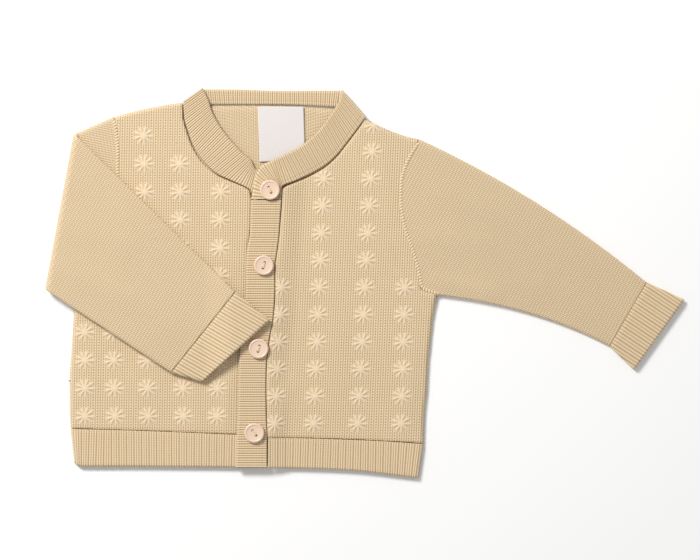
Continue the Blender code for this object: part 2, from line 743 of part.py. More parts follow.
def main():
    clear_scene()
    collection = new_collection(GARMENT)
    cutters = new_collection("cutters")
    cutters.hide_render = True
    cloth = new_material("knit", (0.76, 0.59, 0.37), 0.9)
    rib = new_material("rib", (0.74, 0.57, 0.35), 0.9)
    shell = new_material("button_shell", (0.80, 0.60, 0.46), 0.25)
    thread = new_material("sewing_thread", (0.78, 0.62, 0.42), 0.7)
    satin = new_material("label_satin", (0.72, 0.68, 0.66), 0.4)

    make_back(cloth, collection)
    make_hem("back_hem", BACK_HEM, lambda x, y: BACK_RIB_MID, 0, rib, collection)
    make_front(
        "front_left", LEFT_FRONT, LEFT_UNDERARM_ROW,
        lambda x, y: left_front_height(x, y, FRONT_MID), cloth, collection,
    )
    make_front("front_right", RIGHT_FRONT, RIGHT_UNDERARM_ROW, lambda x, y: FRONT_MID, cloth, collection)
    make_hem(
        "front_left_hem", LEFT_HEM,
        lambda x, y: left_front_height(x, y, FRONT_RIB_MID), 1, rib, collection,
    )
    make_hem("front_right_hem", RIGHT_HEM, lambda x, y: FRONT_RIB_MID, -1, rib, collection)
    make_sleeve_left(cloth, rib, collection)
    make_sleeve_right(cloth, rib, collection)

    make_band("neckband_back", BACK_NECKBAND, RIB, 2, 0.2, rib, collection)
    make_band("neckband_right", RIGHT_NECKBAND, RIB, 3, 0.12, rib, collection)
    neckband_left = make_band("neckband_left", LEFT_NECKBAND, RIB, 3, 0.12, rib, collection)
    under = front_band_sections(UNDER_BAND_INSET_LEFT, UNDER_BAND_INSET_RIGHT, FRONT_RIB_MID)
    make_band("button_band", under, RIB, 2, 0.2, rib, collection)
    over = front_band_sections(0.0, 0.0, TOP_BAND_MID)
    buttonhole_band = make_band("buttonhole_band", over, RIB, 3, 0.2, rib, collection)

    label_mid = CLOTH + SEAM_GAP + LABEL_THICKNESS / 2
    label = [row._replace(near_z=label_mid, far_z=label_mid) for row in LABEL]
    make_band("neck_label", label, LABEL_THICKNESS, 3, 0.3, satin, collection)

    mesh = button_mesh()
    mesh.materials.append(shell)
    for number, place in enumerate(BUTTONS, start=1):
        make_button(number, place, mesh, collection, cutters)
        make_thread(number, place, thread, collection)
        holed = neckband_left if number == 1 else buttonhole_band
        cut(holed, buttonhole_cutter(number, place, cutters))

    for piece in [*collection.objects, *cutters.objects]:
        piece.location -= MIDDLE * MM


main()
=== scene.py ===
"""Looks of a baby cardigan in fine knit, lying flat with its right sleeve folded over the front.

Every piece is a thin shell on the form of its solid. Tables and heights are in millimetres on the
table top, X to the wearer's left and Y from hem to neck; to_frame() turns them into the frame's metres.
"""

import math
from collections import namedtuple

import bpy
import numpy as np
from mathutils import Matrix, Vector


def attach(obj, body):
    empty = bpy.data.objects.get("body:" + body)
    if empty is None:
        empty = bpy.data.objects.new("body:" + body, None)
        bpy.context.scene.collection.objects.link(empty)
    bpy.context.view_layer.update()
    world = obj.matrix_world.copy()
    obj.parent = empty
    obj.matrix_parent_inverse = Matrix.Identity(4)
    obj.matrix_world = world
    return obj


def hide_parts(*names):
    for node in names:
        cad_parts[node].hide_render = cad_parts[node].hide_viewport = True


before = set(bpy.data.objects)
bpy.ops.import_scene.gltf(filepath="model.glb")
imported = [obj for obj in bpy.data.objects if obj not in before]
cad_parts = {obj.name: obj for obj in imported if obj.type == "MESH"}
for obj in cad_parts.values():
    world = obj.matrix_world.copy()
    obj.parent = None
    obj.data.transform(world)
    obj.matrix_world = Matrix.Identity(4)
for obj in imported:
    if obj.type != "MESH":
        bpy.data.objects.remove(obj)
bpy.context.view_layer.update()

bl_info = {
    "name": "Baby cardigan",
    "version": (1, 0, 0),
    "blender": (4, 5, 0),
    "location": "3D View > Sidebar > Cardigan",
    "description": "Builds the knitted panels, ribs, label, buttons and studio of a baby cardigan",
    "category": "Object",
}

MM = 0.001
BODY = "root"
# The middle of the laid-out garment is the frame's origin
MIDDLE = (-0.9, -0.65)

# Walls and the height of the middle of each layer
CLOTH = 1.5
RIB = 1.8
SEAM_GAP = 0.3
LAYER_GAP = 0.4
BACK_MID = CLOTH / 2
BACK_RIB_MID = RIB / 2
FRONT_MID = CLOTH + LAYER_GAP + CLOTH / 2
FRONT_RIB_MID = RIB + LAYER_GAP + RIB / 2
TOP_BAND_MID = FRONT_RIB_MID + RIB + LAYER_GAP
TOP_BAND_SURFACE = TOP_BAND_MID + RIB / 2
# Outer radius of the turn at a front's side and shoulder
TURN_RADIUS = FRONT_MID - BACK_MID + CLOTH / 2
RIB_TURN_RADIUS = FRONT_RIB_MID - BACK_RIB_MID + RIB / 2
BAND_RISE_WIDTH = 16.0
# A rib's free edge rounds off over this distance
EDGE_ROUND = 1.3

# The flattened sleeves
SLEEVE_PUFF = 0.5
SLEEVE_EDGE = 2.0

# The right sleeve's fold
FOLD_TOP = np.array([-182.7, 95.3])
FOLD_BOTTOM = np.array([-200.6, -2.6])
FOLD_AXIS_HEIGHT = 4.0
FOLD_MEAN_RADIUS = 2.2
BAND_LIFT = 2.8
BAND_LIFT_START = -105.0
BAND_LIFT_END = -84.0

# Lines of stitches in one repeat of a rib, its course, and its mean height from 0 to 1
HEM_LINES = 3
BAND_LINES = 2
RIB_COURSE = 1.5
RIB_MIDDLE = 0.6
HEM_DEPTH = 21.0
EYELET_SPACING = 2.9
STAR_STRANDS = 9
STAR_TURN = 0.6
SEAM_LINK = 1.9
SEAM_STEP = 0.4
SEAM_WIDTH = 2.4
SEAM_RAISED = 0.55
SEAM_LENGTH = 110.0

LABEL_THICKNESS = 0.8
LABEL_WIDTH = 29.2
LABEL_WALL = 0.4
THREAD_RADIUS = 0.21
BUTTON_RADIUS = 6.35
BUTTON_THICKNESS = 2.2
BUTTON_HOLE_RADIUS = 0.85
BUTTON_HOLE_OFFSET = 1.8
BUTTONHOLE_LENGTH = 10.0
BUTTONHOLE_WIDTH = 4.0

Section = namedtuple("Section", "near_x near_y far_x far_y bow")
BandSection = namedtuple("BandSection", "near_x near_y near_z far_x far_y far_z")
Width = namedtuple("Width", "y left right")
HemSection = namedtuple("HemSection", "top_x top_y end_x end_y")
SleeveLine = namedtuple("SleeveLine", "armhole_x armhole_y")
ButtonPlace = namedtuple("ButtonPlace", "x y hole_angle")
# A column of star crossings, from its place at the hem to its place at the neck
StarColumn = namedtuple("StarColumn", "hem_x neck_x lowest_y highest_y")
# A soft ridge, or a trough where the height is negative, from one place to another
Crease = namedtuple("Crease", "from_x from_y to_x to_y width height")
# How a panel's stitches lie: the place of one wale line, its lean, and the stitch
Knit = namedtuple("Knit", "x y lean wale course")
# A rib strip: its node, its grid, its buttonholes, and its flat size in metres
Strip = namedtuple("Strip", "node sections repeat step holes flat rests_on")

LEFT_FRONT = [
    Section(-63.0, -99.2, 36.5, -103.0, 0.8),
    Section(-63.6, -84.5, 36.9, -86.0, 0.0),
    Section(-63.8, -66.0, 38.7, -68.0, 0.0),
    Section(-63.4, -50.0, 39.6, -51.0, 0.0),
    Section(-61.6, -36.0, 41.0, -36.0, 0.0),
    Section(-59.0, -20.5, 43.2, -18.5, 0.0),
    Section(-58.1, -8.0, 45.2, -8.4, 0.0),
    Section(-58.1, -4.0, 35.2, -5.2, 0.0),
    Section(-58.3, 8.0, 33.0, 7.0, 0.0),
    Section(-56.4, 22.0, 28.8, 21.5, 0.0),
    Section(-54.9, 37.0, 23.5, 37.0, 0.0),
    Section(-53.8, 50.0, 21.4, 53.0, 0.0),
    Section(-53.4, 58.9, 21.9, 62.0, 0.0),
    Section(-43.8, 64.0, 23.4, 70.4, 0.0),
    Section(-34.2, 68.5, 25.0, 75.0, 0.0),
    Section(-26.0, 73.4, 26.8, 79.0, 0.0),
    Section(-18.2, 80.6, 28.6, 82.2, 0.0),
    Section(-11.8, 89.0, 30.4, 85.4, -0.6),
    Section(-5.4, 97.3, 32.2, 88.6, -1.2),
    Section(-0.4, 104.6, 33.6, 91.2, -1.8),
]
LEFT_UNDERARM_ROW = 6
LEFT_ROWS_BELOW_NECK = 13

RIGHT_FRONT = [
    Section(-81.6, -97.3, -189.1, -93.4, 0.2),
    Section(-81.0, -85.8, -189.7, -82.0, 0.0),
    Section(-80.6, -64.0, -189.8, -64.0, 0.0),
    Section(-80.1, -43.0, -188.6, -43.5, 0.0),
    Section(-78.4, -24.0, -187.2, -22.0, 0.0),
    Section(-76.2, -3.0, -186.2, -2.0, 0.0),
    Section(-76.0, 0.5, -183.0, 1.2, 0.0),
    Section(-75.9, 8.0, -175.0, 7.4, 0.0),
    Section(-75.6, 21.0, -167.0, 20.5, 0.0),
    Section(-73.5, 38.0, -161.2, 39.7, 0.0),
    Section(-73.2, 50.0, -159.2, 54.0, 0.0),
    Section(-74.8, 58.2, -158.4, 66.6, 0.0),
    Section(-87.0, 64.2, -158.3, 76.0, 0.0),
    Section(-95.0, 67.8, -158.4, 84.5, 0.0),
    Section(-101.4, 72.8, -158.7, 91.0, 0.0),
    Section(-106.9, 79.0, -159.2, 95.5, 0.2),
    Section(-111.4, 86.6, -159.7, 99.0, 0.4),
    Section(-114.8, 96.0, -160.2, 101.6, 0.6),
    Section(-117.2, 105.0, -160.6, 103.8, 0.8),
    Section(-117.6, 114.8, -161.0, 105.6, 1.0),
]
RIGHT_UNDERARM_ROW = 5

BACK = [
    Section(-186.8, -93.8, 34.2, -103.2, 1.0),
    Section(-187.5, -82.0, 34.6, -86.0, 0.0),
    Section(-187.5, -64.0, 36.4, -68.0, 0.0),
    Section(-186.3, -43.5, 37.3, -44.0, 0.0),
    Section(-184.6, -18.0, 40.5, -20.0, 0.0),
    Section(-183.6, -3.0, 42.6, -9.0, 0.0),
    Section(-181.0, 0.8, 34.4, -5.0, 0.0),
    Section(-175.0, 7.4, 33.0, 7.0, 0.0),
    Section(-167.0, 20.5, 28.8, 21.5, 0.0),
    Section(-161.2, 39.7, 23.5, 37.0, 0.0),
    Section(-158.4, 66.6, 21.4, 55.0, 0.0),
    Section(-158.4, 86.0, 24.6, 74.0, 0.0),
    Section(-159.4, 97.0, 29.6, 84.0, 0.0),
    Section(-160.2, 103.0, 32.4, 88.8, 0.4),
    Section(-140.0, 108.2, 18.0, 93.6, 1.0),
    Section(-122.0, 111.0, 4.0, 99.0, 1.4),
    Section(-112.5, 112.2, -13.0, 110.2, 1.5),
]

LEFT_HEM = [
    HemSection(-62.8, -99.6, -62.8, -118.6),
    HemSection(-42.0, -99.9, -42.6, -119.0),
    HemSection(-10.0, -100.9, -10.6, -120.3),
    HemSection(8.6, -101.7, 8.2, -122.2),
    HemSection(24.0, -102.7, 22.5, -124.0),
    HemSection(36.4, -103.6, 33.2, -125.3),
]

RIGHT_HEM = [
    HemSection(-189.1, -93.9, -186.8, -115.6),
    HemSection(-182.0, -94.1, -182.0, -117.9),
    HemSection(-157.8, -94.7, -157.6, -117.9),
    HemSection(-119.4, -96.1, -119.4, -118.1),
    HemSection(-82.2, -97.7, -82.8, -118.4),
]

BACK_HEM = [
    HemSection(-186.2, -94.3, -184.2, -115.6),
    HemSection(-157.8, -95.1, -157.6, -117.6),
    HemSection(-119.4, -96.3, -119.4, -117.8),
    HemSection(-60.0, -98.7, -60.0, -118.2),
    HemSection(-10.0, -101.2, -10.6, -120.0),
    HemSection(34.2, -103.8, 31.2, -124.8),
]

LEFT_NECKBAND = [
    BandSection(-15.7, 122.9, 3.1, -0.3, 105.4, 3.1),
    BandSection(-18.2, 114.6, 3.4, -5.6, 98.2, 3.1),
    BandSection(-22.7, 107.6, 3.7, -12.0, 89.8, 3.2),
    BandSection(-28.4, 99.4, 3.9, -18.6, 81.6, 3.2),
    BandSection(-36.0, 91.6, 4.1, -26.6, 74.4, 3.4),
    BandSection(-43.8, 85.6, 4.5, -34.9, 69.6, 3.7),
    BandSection(-52.2, 81.4, 5.0, -44.3, 65.1, 4.5),
    BandSection(-60.5, 77.4, 5.3, -54.0, 60.4, 5.3),
    BandSection(-67.0, 74.2, 5.3, -54.0, 57.4, 5.3),
    BandSection(-70.6, 68.6, 5.3, -54.1, 54.8, 5.3),
    BandSection(-73.6, 52.8, 5.3, -54.2, 52.8, 5.3),
]

RIGHT_NECKBAND = [
    BandSection(-104.6, 124.0, 3.1, -117.0, 115.3, 3.1),
    BandSection(-101.0, 116.6, 3.2, -116.4, 105.0, 3.1),
    BandSection(-98.8, 109.6, 3.4, -113.9, 96.4, 3.1),
    BandSection(-95.4, 102.8, 3.5, -110.6, 87.2, 3.1),
    BandSection(-90.4, 95.4, 3.5, -106.2, 79.8, 3.1),
    BandSection(-84.2, 88.0, 3.5, -100.9, 73.6, 3.1),
    BandSection(-78.4, 82.0, 3.4, -94.6, 68.6, 3.1),
    BandSection(-73.6, 78.0, 3.3, -86.7, 65.0, 3.1),
    BandSection(-70.8, 72.4, 3.1, -74.4, 58.9, 3.1),
    BandSection(-66.0, 70.4, 3.1, -70.4, 54.0, 3.1),
    BandSection(-62.0, 69.8, 3.1, -64.0, 52.9, 3.1),
    BandSection(-56.6, 69.5, 3.1, -56.2, 52.9, 3.1),
]

BACK_NECKBAND = [
    BandSection(-107.6, 120.4, BACK_RIB_MID, -112.0, 113.0, BACK_RIB_MID),
    BandSection(-103.6, 123.2, BACK_RIB_MID, -104.0, 113.4, BACK_RIB_MID),
    BandSection(-81.0, 123.1, BACK_RIB_MID, -81.0, 113.4, BACK_RIB_MID),
    BandSection(-65.0, 122.5, BACK_RIB_MID, -65.0, 113.4, BACK_RIB_MID),
    BandSection(-49.0, 122.2, BACK_RIB_MID, -49.0, 113.2, BACK_RIB_MID),
    BandSection(-32.0, 122.4, BACK_RIB_MID, -32.0, 112.5, BACK_RIB_MID),
    BandSection(-17.6, 122.4, BACK_RIB_MID, -19.0, 111.6, BACK_RIB_MID),
    BandSection(-11.6, 117.8, BACK_RIB_MID, -13.0, 110.8, BACK_RIB_MID),
]

FRONT_BAND = [
    Width(52.2, -73.8, -54.2),
    Width(39.7, -74.2, -55.2),
    Width(30.7, -74.5, -55.8),
    Width(19.8, -76.4, -57.1),
    Width(8.0, -77.0, -58.7),
    Width(-4.0, -77.1, -58.5),
    Width(-20.5, -78.6, -59.4),
    Width(-36.0, -80.4, -62.0),
    Width(-50.0, -81.3, -63.8),
    Width(-66.0, -81.7, -64.2),
    Width(-84.5, -82.0, -64.0),
    Width(-99.2, -83.0, -63.4),
    Width(-118.4, -83.5, -63.3),
]
UNDER_BAND_INSET_LEFT = 1.6
UNDER_BAND_INSET_RIGHT = 0.8

LEFT_ARMHOLE = [
    SleeveLine(34.2, 90.3),
    SleeveLine(31.0, 85.6),
    SleeveLine(25.4, 75.0),
    SleeveLine(22.4, 64.5),
    SleeveLine(21.9, 53.0),
    SleeveLine(23.9, 37.2),
    SleeveLine(29.2, 21.6),
    SleeveLine(33.4, 7.2),
    SleeveLine(35.9, -3.6),
    SleeveLine(46.2, -7.6),
]
LEFT_CUFF_TOP = np.array([178.4, -0.8])
LEFT_CUFF_UNDER = np.array([155.6, -40.2])
LEFT_HAND_TOP = np.array([202.6, -12.0])
LEFT_HAND_UNDER = np.array([171.4, -55.4])
LEFT_SLEEVE_BOW = np.array([2.8, 4.8])

RIGHT_ARMHOLE = [
    SleeveLine(-161.6, 104.9),
    SleeveLine(-160.0, 97.0),
    SleeveLine(-158.8, 84.5),
    SleeveLine(-158.8, 66.6),
    SleeveLine(-162.0, 39.7),
    SleeveLine(-168.0, 20.7),
    SleeveLine(-176.0, 8.0),
    SleeveLine(-186.8, -0.2),
]
RIGHT_CUFF_TOP = np.array([-84.0, -6.9])
RIGHT_CUFF_UNDER = np.array([-124.1, -57.0])
RIGHT_HAND_TOP = np.array([-62.0, -24.9])
RIGHT_HAND_UNDER = np.array([-104.0, -63.0])

BUTTONS = [
    ButtonPlace(-61.5, 58.6, math.radians(-66)),
    ButtonPlace(-65.4, 10.6, math.radians(73)),
    ButtonPlace(-68.7, -42.4, math.radians(77)),
    ButtonPlace(-71.4, -96.0, math.radians(-53)),
]

LABEL = [
    BandSection(-69.4, 112.0, 0, -40.2, 112.0, 0),
    BandSection(-68.9, 94.0, 0, -39.7, 94.2, 0),
    BandSection(-68.3, 76.8, 0, -39.2, 77.2, 0),
]

# Star columns on each front, and the heights of one of their crossings and the next
LEFT_STARS = [
    StarColumn(-58.4, -50.0, -92.0, 0.0),
    StarColumn(-33.6, -26.6, -92.0, 70.0),
    StarColumn(-5.4, 3.5, -92.0, 94.0),
    StarColumn(22.1, 27.0, -92.0, -3.0),
]
LEFT_STAR_START = -90.4
LEFT_STAR_STEP = 17.35
RIGHT_STARS = [
    StarColumn(-95.4, -92.4, -88.0, 62.0),
    StarColumn(-116.8, -119.4, -88.0, 80.0),
    StarColumn(-139.2, -142.0, -88.0, 94.0),
    StarColumn(-160.3, -165.0, -88.0, 8.0),
    StarColumn(-179.5, -180.0, -88.0, -10.0),
]
RIGHT_STAR_START = -85.8
RIGHT_STAR_STEP = 17.9

LEFT_CREASES = [
    Crease(20.0, 6.0, 44.0, -14.0, 3.2, 0.55),
    Crease(12.0, 0.0, 38.0, -24.0, 3.6, 0.4),
    Crease(17.0, 20.0, 31.0, -2.0, 2.6, -0.35),
    Crease(-50.0, 30.0, -36.0, -30.0, 7.0, 0.35),
    Crease(-10.0, 92.0, 6.0, 60.0, 5.0, 0.45),
    Crease(8.0, 84.0, 16.0, 40.0, 6.0, 0.4),
    Crease(-20.0, -10.0, -14.0, -80.0, 9.0, 0.3),
    Crease(30.0, -40.0, 26.0, -92.0, 6.0, 0.35),
    Crease(-48.0, -62.0, -58.0, -96.0, 5.0, 0.4),
]
RIGHT_CREASES = [
    Crease(-150.0, 98.0, -128.0, 66.0, 6.0, 0.4),
    Crease(-100.0, 58.0, -84.0, 10.0, 6.0, 0.35),
    Crease(-128.0, 40.0, -112.0, 10.0, 8.0, 0.3),
    Crease(-184.0, -14.0, -160.0, -44.0, 6.0, 0.45),
    Crease(-176.0, -40.0, -180.0, -88.0, 7.0, 0.3),
    Crease(-150.0, -60.0, -140.0, -92.0, 8.0, 0.3),
    Crease(-112.0, -68.0, -106.0, -94.0, 6.0, 0.3),
    Crease(-88.0, -60.0, -90.0, -94.0, 4.0, 0.4),
]
LEFT_SLEEVE_CREASES = [
    Crease(36.0, 30.0, 78.0, 22.0, 8.0, 0.4),
    Crease(44.0, 2.0, 84.0, -8.0, 6.0, 0.5),
    Crease(40.0, 60.0, 90.0, 40.0, 9.0, 0.35),
    Crease(100.0, 4.0, 150.0, -20.0, 8.0, 0.3),
]
# On the folded sleeve, where it lies
RIGHT_SLEEVE_CREASES = [
    Crease(-186.0, 40.0, -150.0, 20.0, 9.0, 0.45),
    Crease(-192.0, 10.0, -150.0, -12.0, 8.0, 0.5),
    Crease(-160.0, 50.0, -120.0, 10.0, 7.0, 0.35),
    Crease(-150.0, -8.0, -118.0, -34.0, 8.0, 0.35),
]


# ---------------------------------------------------------------- sizes and colours


def linear(red, green, blue):
    """A display colour from 0 to 255 as the linear colour that Blender keeps."""
    return tuple(((c / 255 + 0.055) / 1.055) ** 2.4 for c in (red, green, blue))


def length(name, description, default):
    return bpy.props.FloatProperty(
        name=name, description=description, default=default, min=0.0, precision=5,
        subtype="DISTANCE", unit="LENGTH",
    )


def colour(name, description, default):
    return bpy.props.FloatVectorProperty(
        name=name, description=description, default=default, size=3, min=0.0, max=1.0, subtype="COLOR",
    )


class CardiganSizes(bpy.types.PropertyGroup):
    """Stitch and relief sizes that change the knit without changing the garment's outline."""

    front_wale: length("Front wale", "Width of one column of stitches on the fronts and back", 0.00305)
    front_course: length("Front course", "Height of one row of stitches on the fronts and back", 0.00175)
    sleeve_wale: length("Sleeve wale", "Width of one column of stitches on the sleeves", 0.0022)
    sleeve_course: length("Sleeve course", "Height of one row of stitches on the sleeves", 0.00195)
    hem_rib: length("Hem rib", "Width of one repeat of the hem rib", 0.0048)
    cuff_rib: length("Cuff rib", "Width of one repeat of the cuff rib", 0.0042)
    band_rib: length("Band rib", "Width of one repeat of the front bands' rib", 0.0030)
    neck_rib: length("Neck rib", "Width of one repeat of the neckband rib", 0.0028)
    stitch_relief: length("Stitch relief", "How far a stitch's leg stands above its hollows", 0.00022)
    rib_relief: length("Rib relief", "How far a knit rib stands above the purl beside it", 0.00042)
    star_radius: length("Star radius", "Reach of one star crossing", 0.0074)
    star_relief: length("Star relief", "How far a star crossing stands above the panel", 0.00055)
    shell_wall: length("Shell wall", "Thickness of a panel's shell", 0.0012)


class CardiganColours(bpy.types.PropertyGroup):
    """The garment's colours, among them the painted shade between its stitches and the painted highlight
    on its stars, and the floor's.
    """

    yarn: colour("Yarn", "Lit side of the cream yarn", linear(233, 209, 172))
    # Painted shade: the yarn painted darker and warmer between the stitches and ribs, where it shades
    # itself
    hollow_shade: colour("Hollow", "Between the stitches, where the yarn shades itself", linear(147, 114, 74))
    # Painted highlight: the star crossings are the same cream yarn, painted paler where their raised
    # strands catch the light; the seam's links take it too
    star: colour("Star", "Pale yarn of the star crossings", linear(241, 221, 190))
    floor: colour("Floor", "Studio floor", linear(250, 250, 250))


def sizes():
    return bpy.context.scene.cardigan_sizes


def colours():
    return bpy.context.scene.cardigan_colours


# ---------------------------------------------------------------- tables and curves


def unbent_slopes(at, values):
    """Slopes for a smooth line through the values that never overshoots them."""
    step = np.diff(at)
    rise = np.diff(values) / step
    slopes = np.zeros(len(at))
    slopes[0], slopes[-1] = rise[0], rise[-1]
    for i in range(1, len(at) - 1):
        if rise[i - 1] * rise[i] > 0:
            before = 2 * step[i] + step[i - 1]
            after = step[i] + 2 * step[i - 1]
            slopes[i] = (before + after) / (before / rise[i - 1] + after / rise[i])
    return slopes


class SmoothTable:
    """The columns of a table, each a smooth function of a place from 0 to 1 down its rows."""

    def __init__(self, rows, near, far):
        values = np.array(rows, float)
        step = np.linalg.norm(np.diff(values[:, near], axis=0), axis=1)
        step += np.linalg.norm(np.diff(values[:, far], axis=0), axis=1)
        self.at = np.concatenate([[0.0], np.cumsum(step)]) / step.sum()
        self.length = step.sum() / 2
        self.columns = values.T
        self.slopes = np.array([unbent_slopes(self.at, column) for column in self.columns])

    def rows(self, places):
        """Each column at each place: one array for each column, shaped as the places are."""
        places = np.asarray(places, float)
        i = np.clip(np.searchsorted(self.at, places) - 1, 0, len(self.at) - 2)
        step = self.at[i + 1] - self.at[i]
        t = (places - self.at[i]) / step
        start = (1 + 2 * t) * (1 - t) ** 2
        end = t * t * (3 - 2 * t)
        leaving = t * (1 - t) ** 2 * step
        arriving = t * t * (t - 1) * step
        return [
            start * value[i] + end * value[i + 1] + leaving * slope[i] + arriving * slope[i + 1]
            for value, slope in zip(self.columns, self.slopes)
        ]


def ease(value):
    """From 0 to 1 with level ends."""
    value = np.clip(value, 0.0, 1.0)
    return value * value * (3 - 2 * value)


def quarter_round(distance, radius):
    """How far a quarter-round edge has dropped, this far in from its end."""
    reach = np.clip(distance, 0.0, radius)
    return radius - np.sqrt(radius**2 - (radius - reach) ** 2)


def nearest_on(points, line):
    """The nearest places on a line of points, and how far away they are."""
    spots = np.zeros_like(points)
    gaps = np.full(len(points), np.inf)
    for start, end in zip(line[:-1], line[1:]):
        run = end - start
        along = np.clip((points - start) @ run / max(run @ run, 1e-12), 0, 1)
        foot = start + along[:, None] * run
        gap = np.linalg.norm(points - foot, axis=1)
        closer = gap < gaps
        gaps[closer] = gap[closer]
        spots[closer] = foot[closer]
    return spots, gaps


def inside(points, outline):
    """Whether each point is inside a closed outline."""
    crossings = np.zeros(len(points), int)
    x, y = points.T
    for (x0, y0), (x1, y1) in zip(outline[:-1], outline[1:]):
        if y0 != y1:
            spans = (y0 > y) != (y1 > y)
            crossings += spans & (x < x0 + (y - y0) * (x1 - x0) / (y1 - y0))
    return crossings % 2 == 1


def soft_folds(x, y, creases):
    """The height of the listed soft ridges and troughs."""
    height = np.zeros_like(x)
    points = np.stack([x.ravel(), y.ravel()], 1)
    for crease in creases:
        start = np.array([crease.from_x, crease.from_y])
        run = np.array([crease.to_x, crease.to_y]) - start
        along = (points - start) @ run / (run @ run)
        away = np.linalg.norm(points - start - np.clip(along, 0, 1)[:, None] * run, axis=1)
        taper = ease((along + 0.25) / 0.5) * ease((1.25 - along) / 0.5)
        height += (crease.height * taper * np.exp(-((away / crease.width) ** 2))).reshape(x.shape)
    return height


# ---------------------------------------------------------------- knit relief


def stitch_height(u, v):
    """Stocking stitch from 0 to 1: u counts wales, v counts courses."""
    leg = np.abs(np.sin(2 * np.pi * u))
    slope = np.abs(u - np.floor(u) - 0.5)
    wave = 0.5 + 0.5 * np.cos(2 * np.pi * (v - slope))
    return leg * (0.4 + 0.6 * wave)


def rib_height(u, lines):
    """A rib from 0 to 1: u counts repeats, each of this many lines, with the purl recessed."""
    ridges = np.abs(np.sin(np.pi * lines * u))
    turn = 0.5 * np.cos(2 * np.pi * u)
    purl = (0.5 - turn) ** 2 if lines == HEM_LINES else (0.5 + turn) ** 4
    return ridges * (1 - 0.5 * purl)


# ---------------------------------------------------------------- meshes


def to_frame(points):
    moved = np.array(points, float)
    moved[..., 0] -= MIDDLE[0]
    moved[..., 1] -= MIDDLE[1]
    return moved * MM


def add_piece(name, points, faces, material, knit=None, star=None, wall=0.0):
    """A named mesh in the frame, with its stitch coordinates and its wall."""
    mesh = bpy.data.meshes.new(name)
    mesh.from_pydata(to_frame(points).reshape(-1, 3), [], faces)
    for label, values in (("knit", knit), ("star", star)):
        if values is not None:
            layer = mesh.attributes.new(label, "FLOAT_VECTOR", "POINT")
            layer.data.foreach_set("vector", np.ascontiguousarray(values, np.float32).ravel())
    mesh.validate()
    mesh.shade_smooth()
    piece = bpy.data.objects.new(name, mesh)
    mesh.materials.append(material)
    bpy.context.scene.collection.objects.link(piece)
    if wall:
        shell = piece.modifiers.new("wall", "SOLIDIFY")
        shell.thickness = wall * MM
        shell.offset = -1.0
        graph = bpy.context.evaluated_depsgraph_get()
        walled = bpy.data.meshes.new_from_object(
            piece.evaluated_get(graph), preserve_all_data_layers=True, depsgraph=graph
        )
        piece.modifiers.clear()
        piece.data = walled
        # Nothing reaches below the table
        places = np.empty(len(walled.vertices) * 3, np.float32)
        walled.vertices.foreach_get("co", places)
        places[2::3] = np.maximum(places[2::3], 0.0)
        walled.vertices.foreach_set("co", places)
    return piece


def grid_faces(rows, columns, closed=False, turned=False):
    """Quads of a grid of rows by columns points; closed joins the last column to the first."""
    index = np.arange(rows * columns).reshape(rows, columns)
    if closed:
        index = np.concatenate([index, index[:, :1]], 1)
    quads = np.stack([index[:-1, :-1], index[:-1, 1:], index[1:, 1:], index[1:, :-1]], -1).reshape(-1, 4)
    return quads[:, ::-1] if turned else quads


def faces_up(points):
    """Whether the faces of a grid of points look up."""
    across = points[0, -1] - points[0, 0]
    down = points[-1, 0] - points[0, 0]
    return across[0] * down[1] > across[1] * down[0]


def settle(piece, material_slot, *nodes):
    """Puts a finished piece on its body, in place of its solids."""
    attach(piece, BODY)
    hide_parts(*nodes)
    return piece


# ---------------------------------------------------------------- shader graph


class Socket:
    """A socket that takes part in Python arithmetic: each operation adds a Math node."""

    def __init__(self, graph, socket):
        self.graph = graph
        self.socket = socket

    def __add__(self, other):
        return self.graph.math("ADD", self, other)

    __radd__ = __add__

    def __sub__(self, other):
        return self.graph.math("SUBTRACT", self, other)

    def __rsub__(self, other):
        return self.graph.math("SUBTRACT", other, self)

    def __mul__(self, other):
        return self.graph.math("MULTIPLY", self, other)

    __rmul__ = __mul__

    def __pow__(self, other):
        return self.graph.math("POWER", self, other)

    def __abs__(self):
        return self.graph.math("ABSOLUTE", self)


